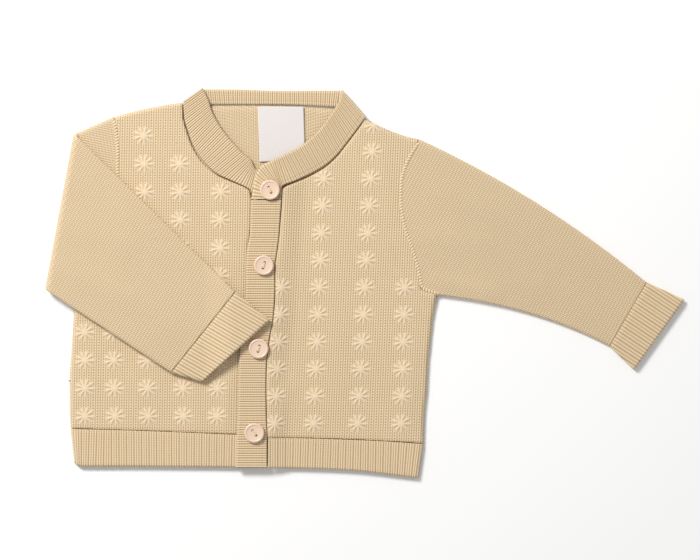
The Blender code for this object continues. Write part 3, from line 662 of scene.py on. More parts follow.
class Graph:
    """A material's nodes, added one expression at a time."""

    def __init__(self, name):
        self.material = bpy.data.materials.new(name)
        self.material.use_nodes = True
        self.tree = self.material.node_tree
        self.shader = self.tree.nodes["Principled BSDF"]

    def node(self, kind, settings=None, **values):
        """Adds a node: its settings first, then the values or links of its sockets by name."""
        made = self.tree.nodes.new(kind)
        for name, value in (settings or {}).items():
            setattr(made, name, value)
        for name, value in values.items():
            self.feed(self.open_input(made, name), value)
        return made

    def open_input(self, node, name):
        title = name.replace("_", " ")
        return next(socket for socket in node.inputs if socket.enabled and socket.name == title)

    def feed(self, socket, value):
        if isinstance(value, Socket):
            self.tree.links.new(value.socket, socket)
        elif socket.type == "RGBA" and len(value) == 3:
            socket.default_value = (*value, 1.0)
        else:
            socket.default_value = value

    def out(self, node, name):
        return Socket(self, node.outputs[name])

    def math(self, operation, *terms):
        made = self.tree.nodes.new("ShaderNodeMath")
        made.operation = operation
        for socket, term in zip(made.inputs, terms):
            self.feed(socket, term)
        return self.out(made, "Value")

    def sine(self, value):
        return self.math("SINE", value)

    def cosine(self, value):
        return self.math("COSINE", value)

    def fraction(self, value):
        return self.math("FRACT", value)

    def clamp(self, value):
        return self.math("MINIMUM", self.math("MAXIMUM", value, 0.0), 1.0)

    def parts(self, vector):
        split = self.node("ShaderNodeSeparateXYZ", Vector=vector)
        return [self.out(split, axis) for axis in "XYZ"]

    def attribute(self, name):
        return self.out(self.node("ShaderNodeAttribute", {"attribute_name": name}), "Vector")

    def position(self):
        return self.out(self.node("ShaderNodeTexCoord"), "Object")

    def noise(self, place, scale, detail=2.0, roughness=0.5):
        values = {"Vector": place, "Scale": scale, "Detail": detail, "Roughness": roughness}
        return self.out(self.node("ShaderNodeTexNoise", **values), "Fac")

    def mix(self, factor, first, second, blend="MIX"):
        made = self.tree.nodes.new("ShaderNodeMix")
        made.data_type = "RGBA"
        made.blend_type = blend
        self.feed(made.inputs["Factor"], factor)
        colour_inputs = [i for i in made.inputs if i.type == "RGBA"]
        self.feed(colour_inputs[0], first)
        self.feed(colour_inputs[1], second)
        return Socket(self, next(o for o in made.outputs if o.type == "RGBA"))

    def bump(self, height, distance, strength=1.0):
        made = self.node("ShaderNodeBump", Height=height, Distance=distance, Strength=strength)
        return self.out(made, "Normal")

    def surface(self, **values):
        for name, value in values.items():
            self.feed(self.open_input(self.shader, name), value)
        return self.material


# ---------------------------------------------------------------- finishes


def yarn_surface(graph, height, hollow_shade, pale=None):
    """Cream yarn with painted shade, darker and warmer, in the hollows, a painted highlight in the star
    colour where pale is given, and slight changes from place to place.
    """
    shades = colours()
    place = graph.position()
    broad = graph.noise(place, 22.0, 2.0)
    fibre = graph.noise(place, 2600.0, 2.0, 0.6)
    # Fine random changes of tone in the fibres
    fibre_darker = tuple(0.88 * c for c in shades.yarn)
    body = graph.mix(graph.clamp(0.25 + 0.5 * fibre), tuple(shades.yarn), fibre_darker)
    # Painted highlight: the paler star colour is painted in where pale is given
    if pale is not None:
        body = graph.mix(graph.clamp(pale), body, tuple(shades.star))
    # Painted shade: a darker, warmer colour where the stitches shade each other
    body = graph.mix(graph.clamp(hollow_shade), body, tuple(shades.hollow_shade))
    # Broad random changes of tone from place to place
    shade = 0.965 + 0.07 * broad
    grey = graph.node("ShaderNodeCombineColor", Red=shade, Green=shade, Blue=shade)
    body = graph.mix(1.0, body, graph.out(grey, "Color"), "MULTIPLY")
    normal = graph.bump(height + 0.25 * fibre, 0.00035, 1.0)
    material = graph.surface(Base_Color=body, Roughness=0.78, Normal=normal)
    graph.shader.inputs["Sheen Weight"].default_value = 0.25
    graph.shader.inputs["Sheen Roughness"].default_value = 0.45
    graph.shader.inputs["Sheen Tint"].default_value = (1.0, 0.95, 0.86, 1.0)
    graph.shader.inputs["Specular IOR Level"].default_value = 0.25
    return material


def stocking_stitch_material(name, contrast):
    """V-shaped legs with painted shade in the pinholes and valleys between them, and stars where a panel
    has them, painted paler as a highlight with painted shade between their strands.
    """
    graph = Graph(name)
    u, v, _ = graph.parts(graph.attribute("knit"))
    star_x, star_y, star = graph.parts(graph.attribute("star"))
    tau = 2 * math.pi
    leg = abs(graph.sine(u * tau))
    slope = abs(graph.fraction(u) - 0.5)
    wave = 0.5 + 0.5 * graph.cosine((v - slope) * tau)
    plain = leg * (0.4 + 0.6 * wave)
    # Painted shade in the pinholes and in the valleys between the wales
    pinhole = (1 - leg) ** 1.6 * (1 - wave) ** 1.2
    valley = (1 - leg) ** 3.0
    # Strands that run out from the middle of each crossing
    angle = graph.math("ARCTAN2", star_y, star_x)
    reach = (star_x * star_x + star_y * star_y) ** 0.5
    strand = 0.5 + 0.5 * graph.cosine(angle * float(STAR_STRANDS) + STAR_TURN)
    spread = graph.clamp((reach - 0.12) * 3.0)
    rays = 1 - spread * (1 - strand)
    height = plain * (1 - star) + rays * star
    # Painted shade between the stitches and between the star strands
    hollow_shade = (contrast * pinhole + 0.16 * valley) * (1 - 0.8 * star) + 0.3 * star * spread * (1 - strand)
    # Painted highlight on the stars in the paler star colour
    return yarn_surface(graph, height, hollow_shade, 0.5 * star)


def rib_material(name, lines, contrast):
    """Ridges of stitches with painted shade in the groove between them and on the recessed purl."""
    graph = Graph(name)
    u, v, _ = graph.parts(graph.attribute("knit"))
    tau = 2 * math.pi
    ridge = abs(graph.sine(u * (math.pi * lines)))
    if lines == HEM_LINES:
        purl = (0.5 - 0.5 * graph.cosine(u * tau)) ** 2.0
    else:
        purl = (0.5 + 0.5 * graph.cosine(u * tau)) ** 4.0
    slope = abs(graph.fraction(u * (lines / 2)) - 0.5)
    wave = 0.5 + 0.5 * graph.cosine((v - slope) * tau)
    height = ridge * (0.65 + 0.35 * wave) * (1 - 0.5 * purl)
    # Painted shade in the grooves between the ridges and on the recessed purl
    groove = (1 - ridge) ** 1.8
    hollow_shade = contrast * (groove * (0.55 + 0.45 * (1 - wave)) + 0.35 * purl * (1 - ridge))
    return yarn_surface(graph, height, hollow_shade)


def seam_material():
    """Chain of linking stitches, with painted shade between the links and a painted highlight on them."""
    graph = Graph("linked_seam")
    u, v, _ = graph.parts(graph.attribute("knit"))
    link = abs(graph.sine((u + 0.25 * v) * math.pi))
    # Painted shade between the links and a painted highlight on them
    return yarn_surface(graph, link, 0.45 * (1 - link) ** 2.0, 0.35 * link)


def floor_material():
    """A matt studio floor with barely any mottling."""
    graph = Graph("studio_floor")
    mottle = graph.noise(graph.position(), 3.0, 2.0)
    shades = colours()
    body = graph.mix(mottle, tuple(shades.floor), tuple(0.995 * c for c in shades.floor))
    graph.shader.inputs["Specular IOR Level"].default_value = 0.0
    return graph.surface(Base_Color=body, Roughness=0.9)


def finish(name):
    """The named material, made once; the label, buttons and thread keep the frame's plain ones."""
    makers = {
        "front_knit": lambda: stocking_stitch_material("front_knit", 0.95),
        "sleeve_knit": lambda: stocking_stitch_material("sleeve_knit", 0.85),
        "hem_rib": lambda: rib_material("hem_rib", HEM_LINES, 0.8),
        "band_rib": lambda: rib_material("band_rib", BAND_LINES, 0.8),
        "linked_seam": seam_material,
    }
    return bpy.data.materials.get(name) or makers[name]()


# ---------------------------------------------------------------- panels


def panel_edges(sections, count=70):
    """A panel's centre-front edge, top edge, side edge and bottom edge, each as a line of points."""
    table = SmoothTable(sections, [0, 1], [2, 3])
    near_x, near_y, far_x, far_y, _ = table.rows(np.linspace(0, 1, count))
    across = np.linspace(0, 1, count)

    def end_line(section):
        x = section.near_x + across * (section.far_x - section.near_x)
        y = section.near_y + across * (section.far_y - section.near_y)
        return np.stack([x, y + section.bow * 4 * across * (1 - across)], 1)

    near = np.stack([near_x, near_y], 1)
    far = np.stack([far_x, far_y], 1)
    return near, end_line(sections[-1]), far, end_line(sections[0])


def clipped_grid(outline, knit, across, down):
    """Points on a grid that follows the stitches, this many to a wale and a course, inside an outline.

    Cells that reach the outline keep their outer points, drawn onto it.
    """
    low, high = outline.min(0), outline.max(0)
    rows = np.arange(math.floor((low[1] - knit.y) / knit.course * down) - 1,
                     math.ceil((high[1] - knit.y) / knit.course * down) + 2) / down
    reach = (high[0] - low[0]) + abs(knit.lean) * (high[1] - low[1]) + knit.wale
    middle = ((low[0] + high[0]) / 2 - knit.x) / knit.wale
    half = math.ceil(reach / 2 / knit.wale * across) + 2
    columns = (round(middle * across) + np.arange(-half, half + 1)) / across
    v, u = np.meshgrid(rows, columns, indexing="ij")
    y = knit.y + v * knit.course
    x = knit.x + knit.lean * (y - knit.y) + u * knit.wale
    points = np.stack([x.ravel(), y.ravel()], 1)
    spots, gaps = nearest_on(points, outline)
    within = inside(points, outline)
    near_enough = within | (gaps < 0.5 * min(knit.wale / across, knit.course / down))
    faces = grid_faces(*u.shape)
    faces = faces[near_enough[faces].all(1)]
    ends = np.sort(np.stack([faces, np.roll(faces, -1, 1)], -1).reshape(-1, 2), 1)
    pairs, uses = np.unique(ends, axis=0, return_counts=True)
    border = np.unique(pairs[uses == 1])
    points[border] = spots[border]
    used, faces = np.unique(faces, return_inverse=True)
    points = points[used]
    v = (points[:, 1] - knit.y) / knit.course
    u = (points[:, 0] - knit.x - knit.lean * (points[:, 1] - knit.y)) / knit.wale
    return points, faces.reshape(-1, 4), u, v


def star_places(x, y, columns, start, step):
    """Each point's place from the nearest star crossing, in star radii, and its share of it."""
    radius = sizes().star_radius / MM
    offset = np.full((len(x), 2), 2.0)
    best = np.full(len(x), np.inf)
    for column in columns:
        share = (y - start) / 170.0
        centre_x = column.hem_x + share * (column.neck_x - column.hem_x)
        centre_y = start + np.round((y - start) / step) * step
        dx, dy = (x - centre_x) / radius, (y - centre_y) / radius
        gap = np.hypot(dx, 1.1 * dy)
        closer = (gap < best) & (y > column.lowest_y - step / 2) & (y < column.highest_y + step / 2)
        best[closer] = gap[closer]
        offset[closer] = np.stack([dx, dy], 1)[closer]
    weight = ease((1.05 - best) / 0.5)
    return np.stack([offset[:, 0], offset[:, 1], weight], 1)


def star_height(star):
    """A raised crossing with strands running out from its middle."""
    reach = np.hypot(star[:, 0], star[:, 1])
    strands = 0.5 + 0.5 * np.cos(STAR_STRANDS * np.arctan2(star[:, 1], star[:, 0]) + STAR_TURN)
    dome = np.exp(-((reach / 0.62) ** 2))
    return star[:, 2] * (dome + 0.35 * strands * np.clip(reach * 2, 0, 1))


def band_seam_x(y):
    rows = sorted((row.near_y, row.near_x) for row in LEFT_FRONT[:LEFT_ROWS_BELOW_NECK])
    return np.interp(y, [r[0] for r in rows], [r[1] for r in rows])


def risen_to_band(x, y, flat_height):
    """The left front comes up to the buttonhole band along their seam."""
    rise = 1 - ease((x - band_seam_x(y)) / BAND_RISE_WIDTH)
    return flat_height + rise * (TOP_BAND_MID - flat_height)


def flat_front(x, y, flat_height):
    return np.full_like(x, flat_height)


def make_front(name, sections, underarm_row, height, knit, stars, creases, material):
    """A front: stitches, star columns and soft folds, turned down at its side and shoulder."""
    near, top, far, bottom = panel_edges(sections)
    outline = np.concatenate([near, top[1:], far[::-1][1:], bottom[::-1][1:]])
    points, faces, u, v = clipped_grid(outline, knit, 4, 3)
    x, y = points.T
    side = far[far[:, 1] <= sections[underarm_row].far_y + 0.5]
    _, from_side = nearest_on(points, side)
    _, from_shoulder = nearest_on(points, top)
    _, from_edge = nearest_on(points, outline)
    star = star_places(x, y, *stars)
    z = height(x, y, FRONT_MID) + CLOTH / 2
    flatness = ease(from_edge / 2.5)
    relief = sizes().stitch_relief / MM * stitch_height(u, v) * (1 - 0.8 * star[:, 2])
    relief += sizes().star_relief / MM * star_height(star)
    z += relief * (0.25 + 0.75 * flatness) + soft_folds(x, y, creases) * flatness
    # The seam with the band, neckband and hem rib pulls a narrow groove
    open_edges = np.concatenate([near[::-1], bottom])
    _, from_seam = nearest_on(points, open_edges)
    z -= 0.35 * np.exp(-((from_seam / 0.8) ** 2))
    z -= quarter_round(from_side, TURN_RADIUS)
    z -= quarter_round(from_shoulder, TURN_RADIUS)
    z = np.maximum(z, BACK_MID)
    stitches = np.stack([u, v, np.zeros_like(u)], 1)
    return add_piece(
        name, np.stack([x, y, z], 1), faces, material, stitches, star, sizes().shell_wall / MM,
    )


def make_back(material):
    """The back, seen inside the neck opening, with its rows sagging a little towards the middle."""
    near, top, far, bottom = panel_edges(BACK)
    outline = np.concatenate([near, top[1:], far[::-1][1:], bottom[::-1][1:]])
    knit = Knit(-60.0, 112.0, 0.0, sizes().sleeve_wale / MM, sizes().sleeve_course / MM)
    points, faces, u, v = clipped_grid(outline, knit, 2, 1)
    x, y = points.T
    v = v + 5.0 * np.exp(-(((x + 58.0) / 26.0) ** 2))
    z = np.full_like(x, CLOTH)
    _, from_edge = nearest_on(points, outline)
    z -= quarter_round(from_edge, CLOTH / 2) * 0.8
    stitches = np.stack([u, v, np.zeros_like(u)], 1)
    return add_piece("back_panel", np.stack([x, y, z], 1), faces, material, stitches, None, CLOTH - 0.2)


# ---------------------------------------------------------------- ribs


def ruled(table, places, across, near, far):
    """Points of a ruled strip: rows down the table's places, columns across it."""
    columns = table.rows(places)
    start = np.stack([columns[i] for i in near], -1)[:, None, :]
    end = np.stack([columns[i] for i in far], -1)[:, None, :]
    return start + (end - start) * across[None, :, None]


def make_hem(name, sections, height, mid, turned_end, material):
    """A hem rib, its ribs running down to a rounded edge, turned down at its side."""
    table = SmoothTable(sections, [0, 1], [2, 3])
    repeat = sizes().hem_rib / MM
    rows = np.linspace(0, 1, round(table.length / repeat * 8) + 1)
    across = np.linspace(0, 1, 27)
    xy = ruled(table, rows, across, [0, 1], [2, 3])
    x, y = xy[..., 0], xy[..., 1]
    along = rows[:, None] * table.length + 0 * x
    down = across[None, :] * HEM_DEPTH + 0 * x
    u, v = along / repeat, down / RIB_COURSE
    z = height(x, y, mid) + RIB / 2
    z += sizes().rib_relief / MM * (rib_height(u, HEM_LINES) - RIB_MIDDLE) * ease(down / RIB_COURSE)
    # A row of little eyelets where the rib begins
    eyelets = 0.5 + 0.5 * np.cos(2 * np.pi * along / EYELET_SPACING)
    z -= 0.25 * np.exp(-(((down - 0.8) / 0.7) ** 2)) * eyelets
    z -= 0.75 * quarter_round(HEM_DEPTH - down, EDGE_ROUND)
    if turned_end:
        side = along if turned_end < 0 else table.length - along
        z -= quarter_round(side, RIB_TURN_RADIUS)
    z = np.maximum(z, BACK_RIB_MID if turned_end else 0.5)
    points = np.stack([x, y, z], -1)
    stitches = np.stack([u, v, 0 * u], -1)
    wall = sizes().shell_wall / MM
    return add_piece(name, points, grid_faces(*x.shape), material, stitches, None, wall)


def make_band(name, sections, repeat, step, material, holes):
    """A rib strip between its free edge and its seam, with the ribs running across it."""
    table = SmoothTable(sections, [0, 1], [3, 4])
    values = np.array(sections, float)
    width = np.linalg.norm(values[:, 3:5] - values[:, 0:2], axis=1).mean()
    rows = np.linspace(0, 1, round(table.length / repeat * 6) + 1)
    across = np.linspace(0, 1, round(width / step) + 1)
    xyz = ruled(table, rows, across, [0, 1, 2], [3, 4, 5])
    x, y, z = xyz[..., 0], xyz[..., 1], xyz[..., 2] + RIB / 2
    along = rows[:, None] * table.length + 0 * x
    aside = across[None, :] * width + 0 * x
    u, v = along / repeat, aside / RIB_COURSE
    inner = ease(np.minimum(aside, width - aside) / 1.6)
    z = z + sizes().rib_relief / MM * (rib_height(u, BAND_LINES) - RIB_MIDDLE) * (0.35 + 0.65 * inner)
    z -= 0.8 * quarter_round(aside, EDGE_ROUND) + 0.45 * quarter_round(width - aside, 1.0)
    # The seam stitch lies just inside the seam as a narrow ridge with a groove before it
    z -= 0.22 * np.exp(-(((width - aside - 2.1) / 0.5) ** 2))
    points = np.stack([x, y, z], -1)
    faces = grid_faces(*x.shape, turned=not faces_up(points))
    if holes:
        centres = points.reshape(-1, 3)[faces].mean(1)
        for hole in holes:
            oval = ((centres[:, 0] - hole.x) / (BUTTONHOLE_WIDTH / 2)) ** 2
            oval += ((centres[:, 1] - hole.y) / (BUTTONHOLE_LENGTH / 2)) ** 2
            keep = oval > 1
            faces, centres = faces[keep], centres[keep]
    stitches = np.stack([u, v, 0 * u], -1)
    return add_piece(name, points, faces, material, stitches, None, sizes().shell_wall / MM)


def front_band(inset_left, inset_right, middle):
    return [
        BandSection(row.left + inset_left, row.y, middle, row.right - inset_right, row.y, middle)
        for row in FRONT_BAND
    ]


# ---------------------------------------------------------------- sleeves


def fold_directions():
    """The fold's line and the direction across it, away from the body."""
    along = (FOLD_TOP - FOLD_BOTTOM) / np.linalg.norm(FOLD_TOP - FOLD_BOTTOM)
    return along, np.array([-along[1], along[0]])


def opened_out(point):
    """Where a place on the folded sleeve lies when the sleeve is opened out flat."""
    along, outward = fold_directions()
    offset = point - FOLD_BOTTOM
    reach = math.pi * FOLD_MEAN_RADIUS - offset @ outward
    return FOLD_BOTTOM + along * (offset @ along) + outward * reach


def fold_over(points):
    """Bends the points of the opened-out sleeve about the fold's axis."""
    along, outward = fold_directions()
    offset = points[..., :2] - FOLD_BOTTOM
    distance = offset @ outward
    turn = np.clip(distance / FOLD_MEAN_RADIUS, 0, math.pi)
    radius = FOLD_AXIS_HEIGHT - points[..., 2]
    past = np.maximum(distance - math.pi * FOLD_MEAN_RADIUS, 0)
    reach = np.where(distance > 0, radius * np.sin(turn) - past, distance)
    height = np.where(distance > 0, FOLD_AXIS_HEIGHT - radius * np.cos(turn), points[..., 2])
    flat = FOLD_BOTTOM + along * (offset @ along)[..., None] + outward * reach[..., None]
    lift = BAND_LIFT * ease((flat[..., 0] - BAND_LIFT_START) / (BAND_LIFT_END - BAND_LIFT_START))
    return np.concatenate([flat, (height + np.where(past > 0, lift, 0))[..., None]], -1)


def as_laid(points):
    return points


def armhole_curve(lines):
    table = SmoothTable(lines, [0, 1], [0, 1])
    return lambda places: np.stack(table.rows(places), -1)


def straight(start, end):
    return lambda places: start + np.asarray(places)[..., None] * (end - start)


def even_lengths(count):
    return lambda sides: np.tile(np.linspace(0, 1, count + 1)[:, None], (1, len(sides)))


def lengths_round_fold(start, end, step):
    """Places along the sleeve for each place across it, closer together where it bends round the fold."""
    _, outward = fold_directions()
    bend = math.pi * FOLD_MEAN_RADIUS

    def lengths(sides):
        first = (start(sides) - FOLD_BOTTOM) @ outward
        last = (end(sides) - FOLD_BOTTOM) @ outward
        before = np.linspace(0, 1, round(-first.mean() / step) + 1)[:-1, None]
        during = np.linspace(0, 1, round(2.5 * bend / step) + 1)[:-1, None]
        after = np.linspace(0, 1, round((last.mean() - bend) / step) + 1)[:, None]
        parts = [first * (1 - before), bend * during + 0 * first, bend + after * (last - bend)]
        distance = np.concatenate(parts)
        return (distance - first) / (last - first)

    return lengths


def make_tube(
    name, start, end, lengths, bow, wall, middles, puff, columns, laid, relief, stitches, material
):
    """A flattened tube from one line across it to another, open at both ends.

    columns are the counts across its upper and lower layers; relief gives the height of the knit from the
    opened-out place and layer; stitches gives the stitch coordinates of the opened-out place.
    """
    width = np.linalg.norm(np.diff(start(np.array([0.0, 1.0])), axis=0))
    edge = (SLEEVE_EDGE + wall / 2) / width
    rounding = edge * (1 - np.cos(np.linspace(0, math.pi / 2, 8)))
    upper, lower = (
        np.concatenate([rounding, np.linspace(edge, 1 - edge, count)[1:-1], 1 - rounding[::-1]])
        for count in columns
    )
    lower = lower[1:-1]
    sides = np.concatenate([upper, lower[::-1]])
    layer = np.concatenate([np.ones(len(upper)), -np.ones(len(lower))])
    along = lengths(sides)
    from_start, from_end = start(sides)[None], end(sides)[None]
    t = along[..., None]
    xy = from_start * (1 - t) + from_end * t + bow * 4 * t * (1 - t)
    ends = np.array([0.0, 1.0])
    span = np.diff(start(ends), axis=0) * (1 - t) + np.diff(end(ends), axis=0) * t
    local_width = np.linalg.norm(span, axis=-1)
    xy = xy + span / local_width[..., None] * ((2 * sides - 1) * wall / 2)[None, :, None]
    low, high = middles
    top = high + wall / 2 + puff * np.sin(np.pi * sides) * np.sin(np.pi * np.minimum(along + 0.1, 1.0))
    centre = (low + high) / 2
    reach = np.minimum(sides, 1 - sides) * (local_width + wall) / (SLEEVE_EDGE + wall / 2)
    roundness = np.sqrt(1 - (1 - np.minimum(reach, 1.0)) ** 2)
    full = np.where(layer > 0, top - centre, low - wall / 2 - centre)
    z = centre + roundness * full
    z += relief(xy[..., 0], xy[..., 1], layer, along) * layer * roundness
    points = laid(np.concatenate([xy, z[..., None]], -1))
    faces = grid_faces(len(along), len(sides), closed=True, turned=laid is fold_over)
    u, v = stitches(xy[..., 0], xy[..., 1])
    knit = np.stack([u, v, 0 * u], -1)
    return add_piece(name, points, faces, material, knit, None, sizes().shell_wall / MM)


def along_direction(origin, direction, wale, course):
    """Stitch coordinates for knitting that runs in one direction."""
    run = direction / np.linalg.norm(direction)

    def stitches(x, y):
        dx, dy = x - origin[0], y - origin[1]
        return (dx * run[1] - dy * run[0]) / wale, (dx * run[0] + dy * run[1]) / course

    return stitches


def make_sleeve_left(cloth, rib):
    cuff = straight(LEFT_CUFF_TOP, LEFT_CUFF_UNDER)
    hand = straight(LEFT_HAND_TOP, LEFT_HAND_UNDER)
    forward = hand(0.5) - cuff(0.5)
    forward = forward / np.linalg.norm(forward)
    stitches = along_direction(
        cuff(0.5), np.array([math.cos(math.radians(28)), -math.sin(math.radians(28))]),
        sizes().sleeve_wale / MM, sizes().sleeve_course / MM,
    )

    def folds(x, y, layer, along):
        return np.where(layer > 0, soft_folds(x, y, LEFT_SLEEVE_CREASES), 0.0) * ease(along * 20)

    sleeve = make_tube(
        "sleeve_left_knit", armhole_curve(LEFT_ARMHOLE), cuff, even_lengths(190), LEFT_SLEEVE_BOW, CLOTH,
        (BACK_MID, FRONT_MID), SLEEVE_PUFF, (110, 34), as_laid, folds, stitches, cloth,
    )
    start = straight(LEFT_CUFF_TOP + forward * SEAM_GAP, LEFT_CUFF_UNDER + forward * SEAM_GAP)
    return sleeve, make_cuff("cuff_left_rib", start, hand, as_laid, (64, 30), rib)


def make_cuff(name, start, end, laid, columns, rib):
    """A ribbed cuff whose open end rounds off, with its ribs along the arm."""
    repeat = sizes().cuff_rib / MM
    middle = start(0.5)
    forward = end(0.5) - middle
    depth = np.linalg.norm(forward)
    ribs = along_direction(middle, forward, repeat, RIB_COURSE)

    def relief(x, y, layer, along):
        u, _ = ribs(x, y)
        ridges = sizes().rib_relief / MM * (rib_height(u, BAND_LINES) - RIB_MIDDLE) * ease(along * 12)
        from_end = (1 - along) * depth
        from_start = along * depth
        eyelets = 0.3 * np.exp(-(((from_start - 0.6) / 0.6) ** 2))
        return ridges - 0.8 * quarter_round(from_end, EDGE_ROUND) - eyelets

    return make_tube(
        name, start, end, even_lengths(34), np.zeros(2), RIB, (BACK_RIB_MID, FRONT_RIB_MID), 0.0,
        columns, laid, relief, ribs, rib,
    )


def make_sleeve_right(cloth, rib):
    cuff = straight(opened_out(RIGHT_CUFF_TOP), opened_out(RIGHT_CUFF_UNDER))
    hand = straight(opened_out(RIGHT_HAND_TOP), opened_out(RIGHT_HAND_UNDER))
    forward = hand(0.5) - cuff(0.5)
    forward = forward / np.linalg.norm(forward)
    armhole = armhole_curve(RIGHT_ARMHOLE)
    stitches = along_direction(cuff(0.5), forward, sizes().sleeve_wale / MM, sizes().sleeve_course / MM)

    def folds(x, y, layer, along):
        lying = fold_over(np.stack([x, y, 0 * x], -1))
        raised = soft_folds(lying[..., 0], lying[..., 1], RIGHT_SLEEVE_CREASES)
        past = (np.stack([x, y], -1) - FOLD_BOTTOM) @ fold_directions()[1] > math.pi * FOLD_MEAN_RADIUS
        return np.where((layer < 0) & past, raised, 0.0)

    sleeve = make_tube(
        "sleeve_right_knit", armhole, cuff, lengths_round_fold(armhole, cuff, 0.85), np.zeros(2), CLOTH,
        (BACK_MID, FRONT_MID), SLEEVE_PUFF, (60, 110), fold_over, folds, stitches, cloth,
    )
    start = straight(cuff(0.0) + forward * SEAM_GAP, cuff(1.0) + forward * SEAM_GAP)
    return sleeve, make_cuff("cuff_right_rib", start, hand, fold_over, (30, 64), rib)


# ---------------------------------------------------------------- seams


def make_seam(name, line, heights, width, raised, material):
    """A raised chain of linking stitches along a line of points."""
    step = np.linalg.norm(np.diff(line, axis=0), axis=1)
    at = np.concatenate([[0.0], np.cumsum(step)])
    along = np.arange(0.0, at[-1], SEAM_STEP)
    centre = np.stack([np.interp(along, at, line[:, i]) for i in (0, 1)], 1)
    height = np.interp(along, at, heights)
    run = np.gradient(centre, axis=0)
    run /= np.linalg.norm(run, axis=1)[:, None]
    aside = np.stack([-run[:, 1], run[:, 0]], 1)
    across = np.linspace(-1, 1, 9)
    beads = 0.72 + 0.28 * np.abs(np.sin(np.pi * along[:, None] / SEAM_LINK + 0.5 * across[None, :]))
    ends = np.sqrt(np.clip(np.minimum(along, along[-1] - along) / 1.5, 0, 1))[:, None]
    profile = np.sqrt(np.clip(1 - across**2, 0, 1))[None, :]
    x = centre[:, :1] + aside[:, :1] * across * width / 2
    y = centre[:, 1:] + aside[:, 1:] * across * width / 2
    z = height[:, None] - 0.3 + (raised + 0.3) * profile * beads * ends
    knit = np.stack([along[:, None] / SEAM_LINK + 0 * x, across + 0 * x, 0 * x], -1)
    points = np.stack([x, y, z], -1)
    return add_piece(name, points, grid_faces(*x.shape, turned=True), material, knit, None, 0.25)


# ---------------------------------------------------------------- buttons and label


def turned_profile():
    """The button's outline from its middle out over the rim and under, rounded at the rim."""
    top = BUTTON_THICKNESS
    rim = [
        (5.45 + 0.9 * math.sin(a), top - 1.0 + math.cos(a)) for a in np.linspace(-0.9, math.pi / 2, 9)
    ]
    under = [
        (BUTTON_RADIUS - 0.35 + 0.35 * math.cos(a), 0.45 - 0.45 * math.sin(a))
        for a in np.linspace(0, 1.5, 5)
    ]
    dish = [(0.0, top - 0.62), (2.0, top - 0.60), (3.6, top - 0.55), (4.3, top - 0.42)]
    return [*dish, *rim, *under, (0.0, 0.0)]


def make_button(number, place, material):
    """A turned shell button with two drilled holes."""
    segments = 72
    profile = np.array(turned_profile())
    angles = np.linspace(0, 2 * math.pi, segments, endpoint=False)
    ring = profile[1:-1]
    points = [
        (radius * math.cos(a), radius * math.sin(a), height) for radius, height in ring for a in angles
    ]
    faces = [tuple(face) for face in grid_faces(len(ring), segments, closed=True, turned=True)]
    top_centre, bottom_centre = len(points), len(points) + 1
    points += [(0, 0, profile[0][1]), (0, 0, 0)]
    last = (len(ring) - 1) * segments
    for k in range(segments):
        after = (k + 1) % segments
        faces.append((top_centre, k, after))
        faces.append((bottom_centre, last + after, last + k))
    mesh = bpy.data.meshes.new(f"shell_button_{number}")
    mesh.from_pydata(np.array(points) * MM, [], faces)
    mesh.validate()
    mesh.shade_smooth()
    mesh.materials.append(material)
    button = bpy.data.objects.new(f"shell_button_{number}", mesh)
    bpy.context.scene.collection.objects.link(button)
    cutters = []
    for side in (-1, 1):
        bpy.ops.mesh.primitive_cylinder_add(
            vertices=24, radius=BUTTON_HOLE_RADIUS * MM, depth=4 * BUTTON_THICKNESS * MM,
            location=(side * BUTTON_HOLE_OFFSET * MM, 0, 0),
        )
        cutter = bpy.context.active_object
        cut = button.modifiers.new("drilled", "BOOLEAN")
        cut.operation = "DIFFERENCE"
        cut.object = cutter
        cutters.append(cutter)
    drilled = bpy.data.meshes.new_from_object(
        button.evaluated_get(bpy.context.evaluated_depsgraph_get())
    )
    button.modifiers.clear()
    button.data = drilled
    drilled.set_sharp_from_angle(angle=math.radians(40))
    for cutter in cutters:
        bpy.data.objects.remove(cutter, do_unlink=True)
    height = TOP_BAND_SURFACE + SEAM_GAP
    shift = Matrix.Translation(Vector(to_frame([place.x, place.y, height])))
    button.matrix_world = shift @ Matrix.Rotation(place.hole_angle, 4, "Z")
    return button


def make_thread(number, place, material):
    """Three turns of thread through the two holes, over the middle of the button."""
    foot = TOP_BAND_MID - RIB / 2 - LAYER_GAP + SEAM_GAP
    bar = TOP_BAND_SURFACE + SEAM_GAP + BUTTON_THICKNESS - 0.62
    curve = bpy.data.curves.new(f"button_thread_{number}", "CURVE")
    curve.dimensions = "3D"
    curve.bevel_depth = THREAD_RADIUS * MM
    curve.bevel_resolution = 3
    curve.use_fill_caps = True
    along = np.array([math.cos(place.hole_angle), math.sin(place.hole_angle)])
    aside = np.array([-along[1], along[0]])
    for shift, lift in ((-0.38, 0.26), (0.0, 0.42), (0.38, 0.26)):
        route = [(-BUTTON_HOLE_OFFSET - 0.05, foot - bar), (-BUTTON_HOLE_OFFSET - 0.05, -0.25)]
        route += [
            (-BUTTON_HOLE_OFFSET * math.cos(a), lift * math.sin(a) ** 0.6)
            for a in np.linspace(0.25, math.pi - 0.25, 9)
        ]
        route += [(BUTTON_HOLE_OFFSET + 0.05, -0.25), (BUTTON_HOLE_OFFSET + 0.05, foot - bar)]
        spline = curve.splines.new("POLY")
        spline.points.add(len(route) - 1)
        for point, (reach, height) in zip(spline.points, route):
            flat = np.array([place.x, place.y]) + along * reach + aside * shift
            point.co = (*to_frame([flat[0], flat[1], bar + height]), 1.0)
    thread = bpy.data.objects.new(f"button_thread_{number}", curve)
    curve.materials.append(material)
    bpy.context.scene.collection.objects.link(thread)
    return thread


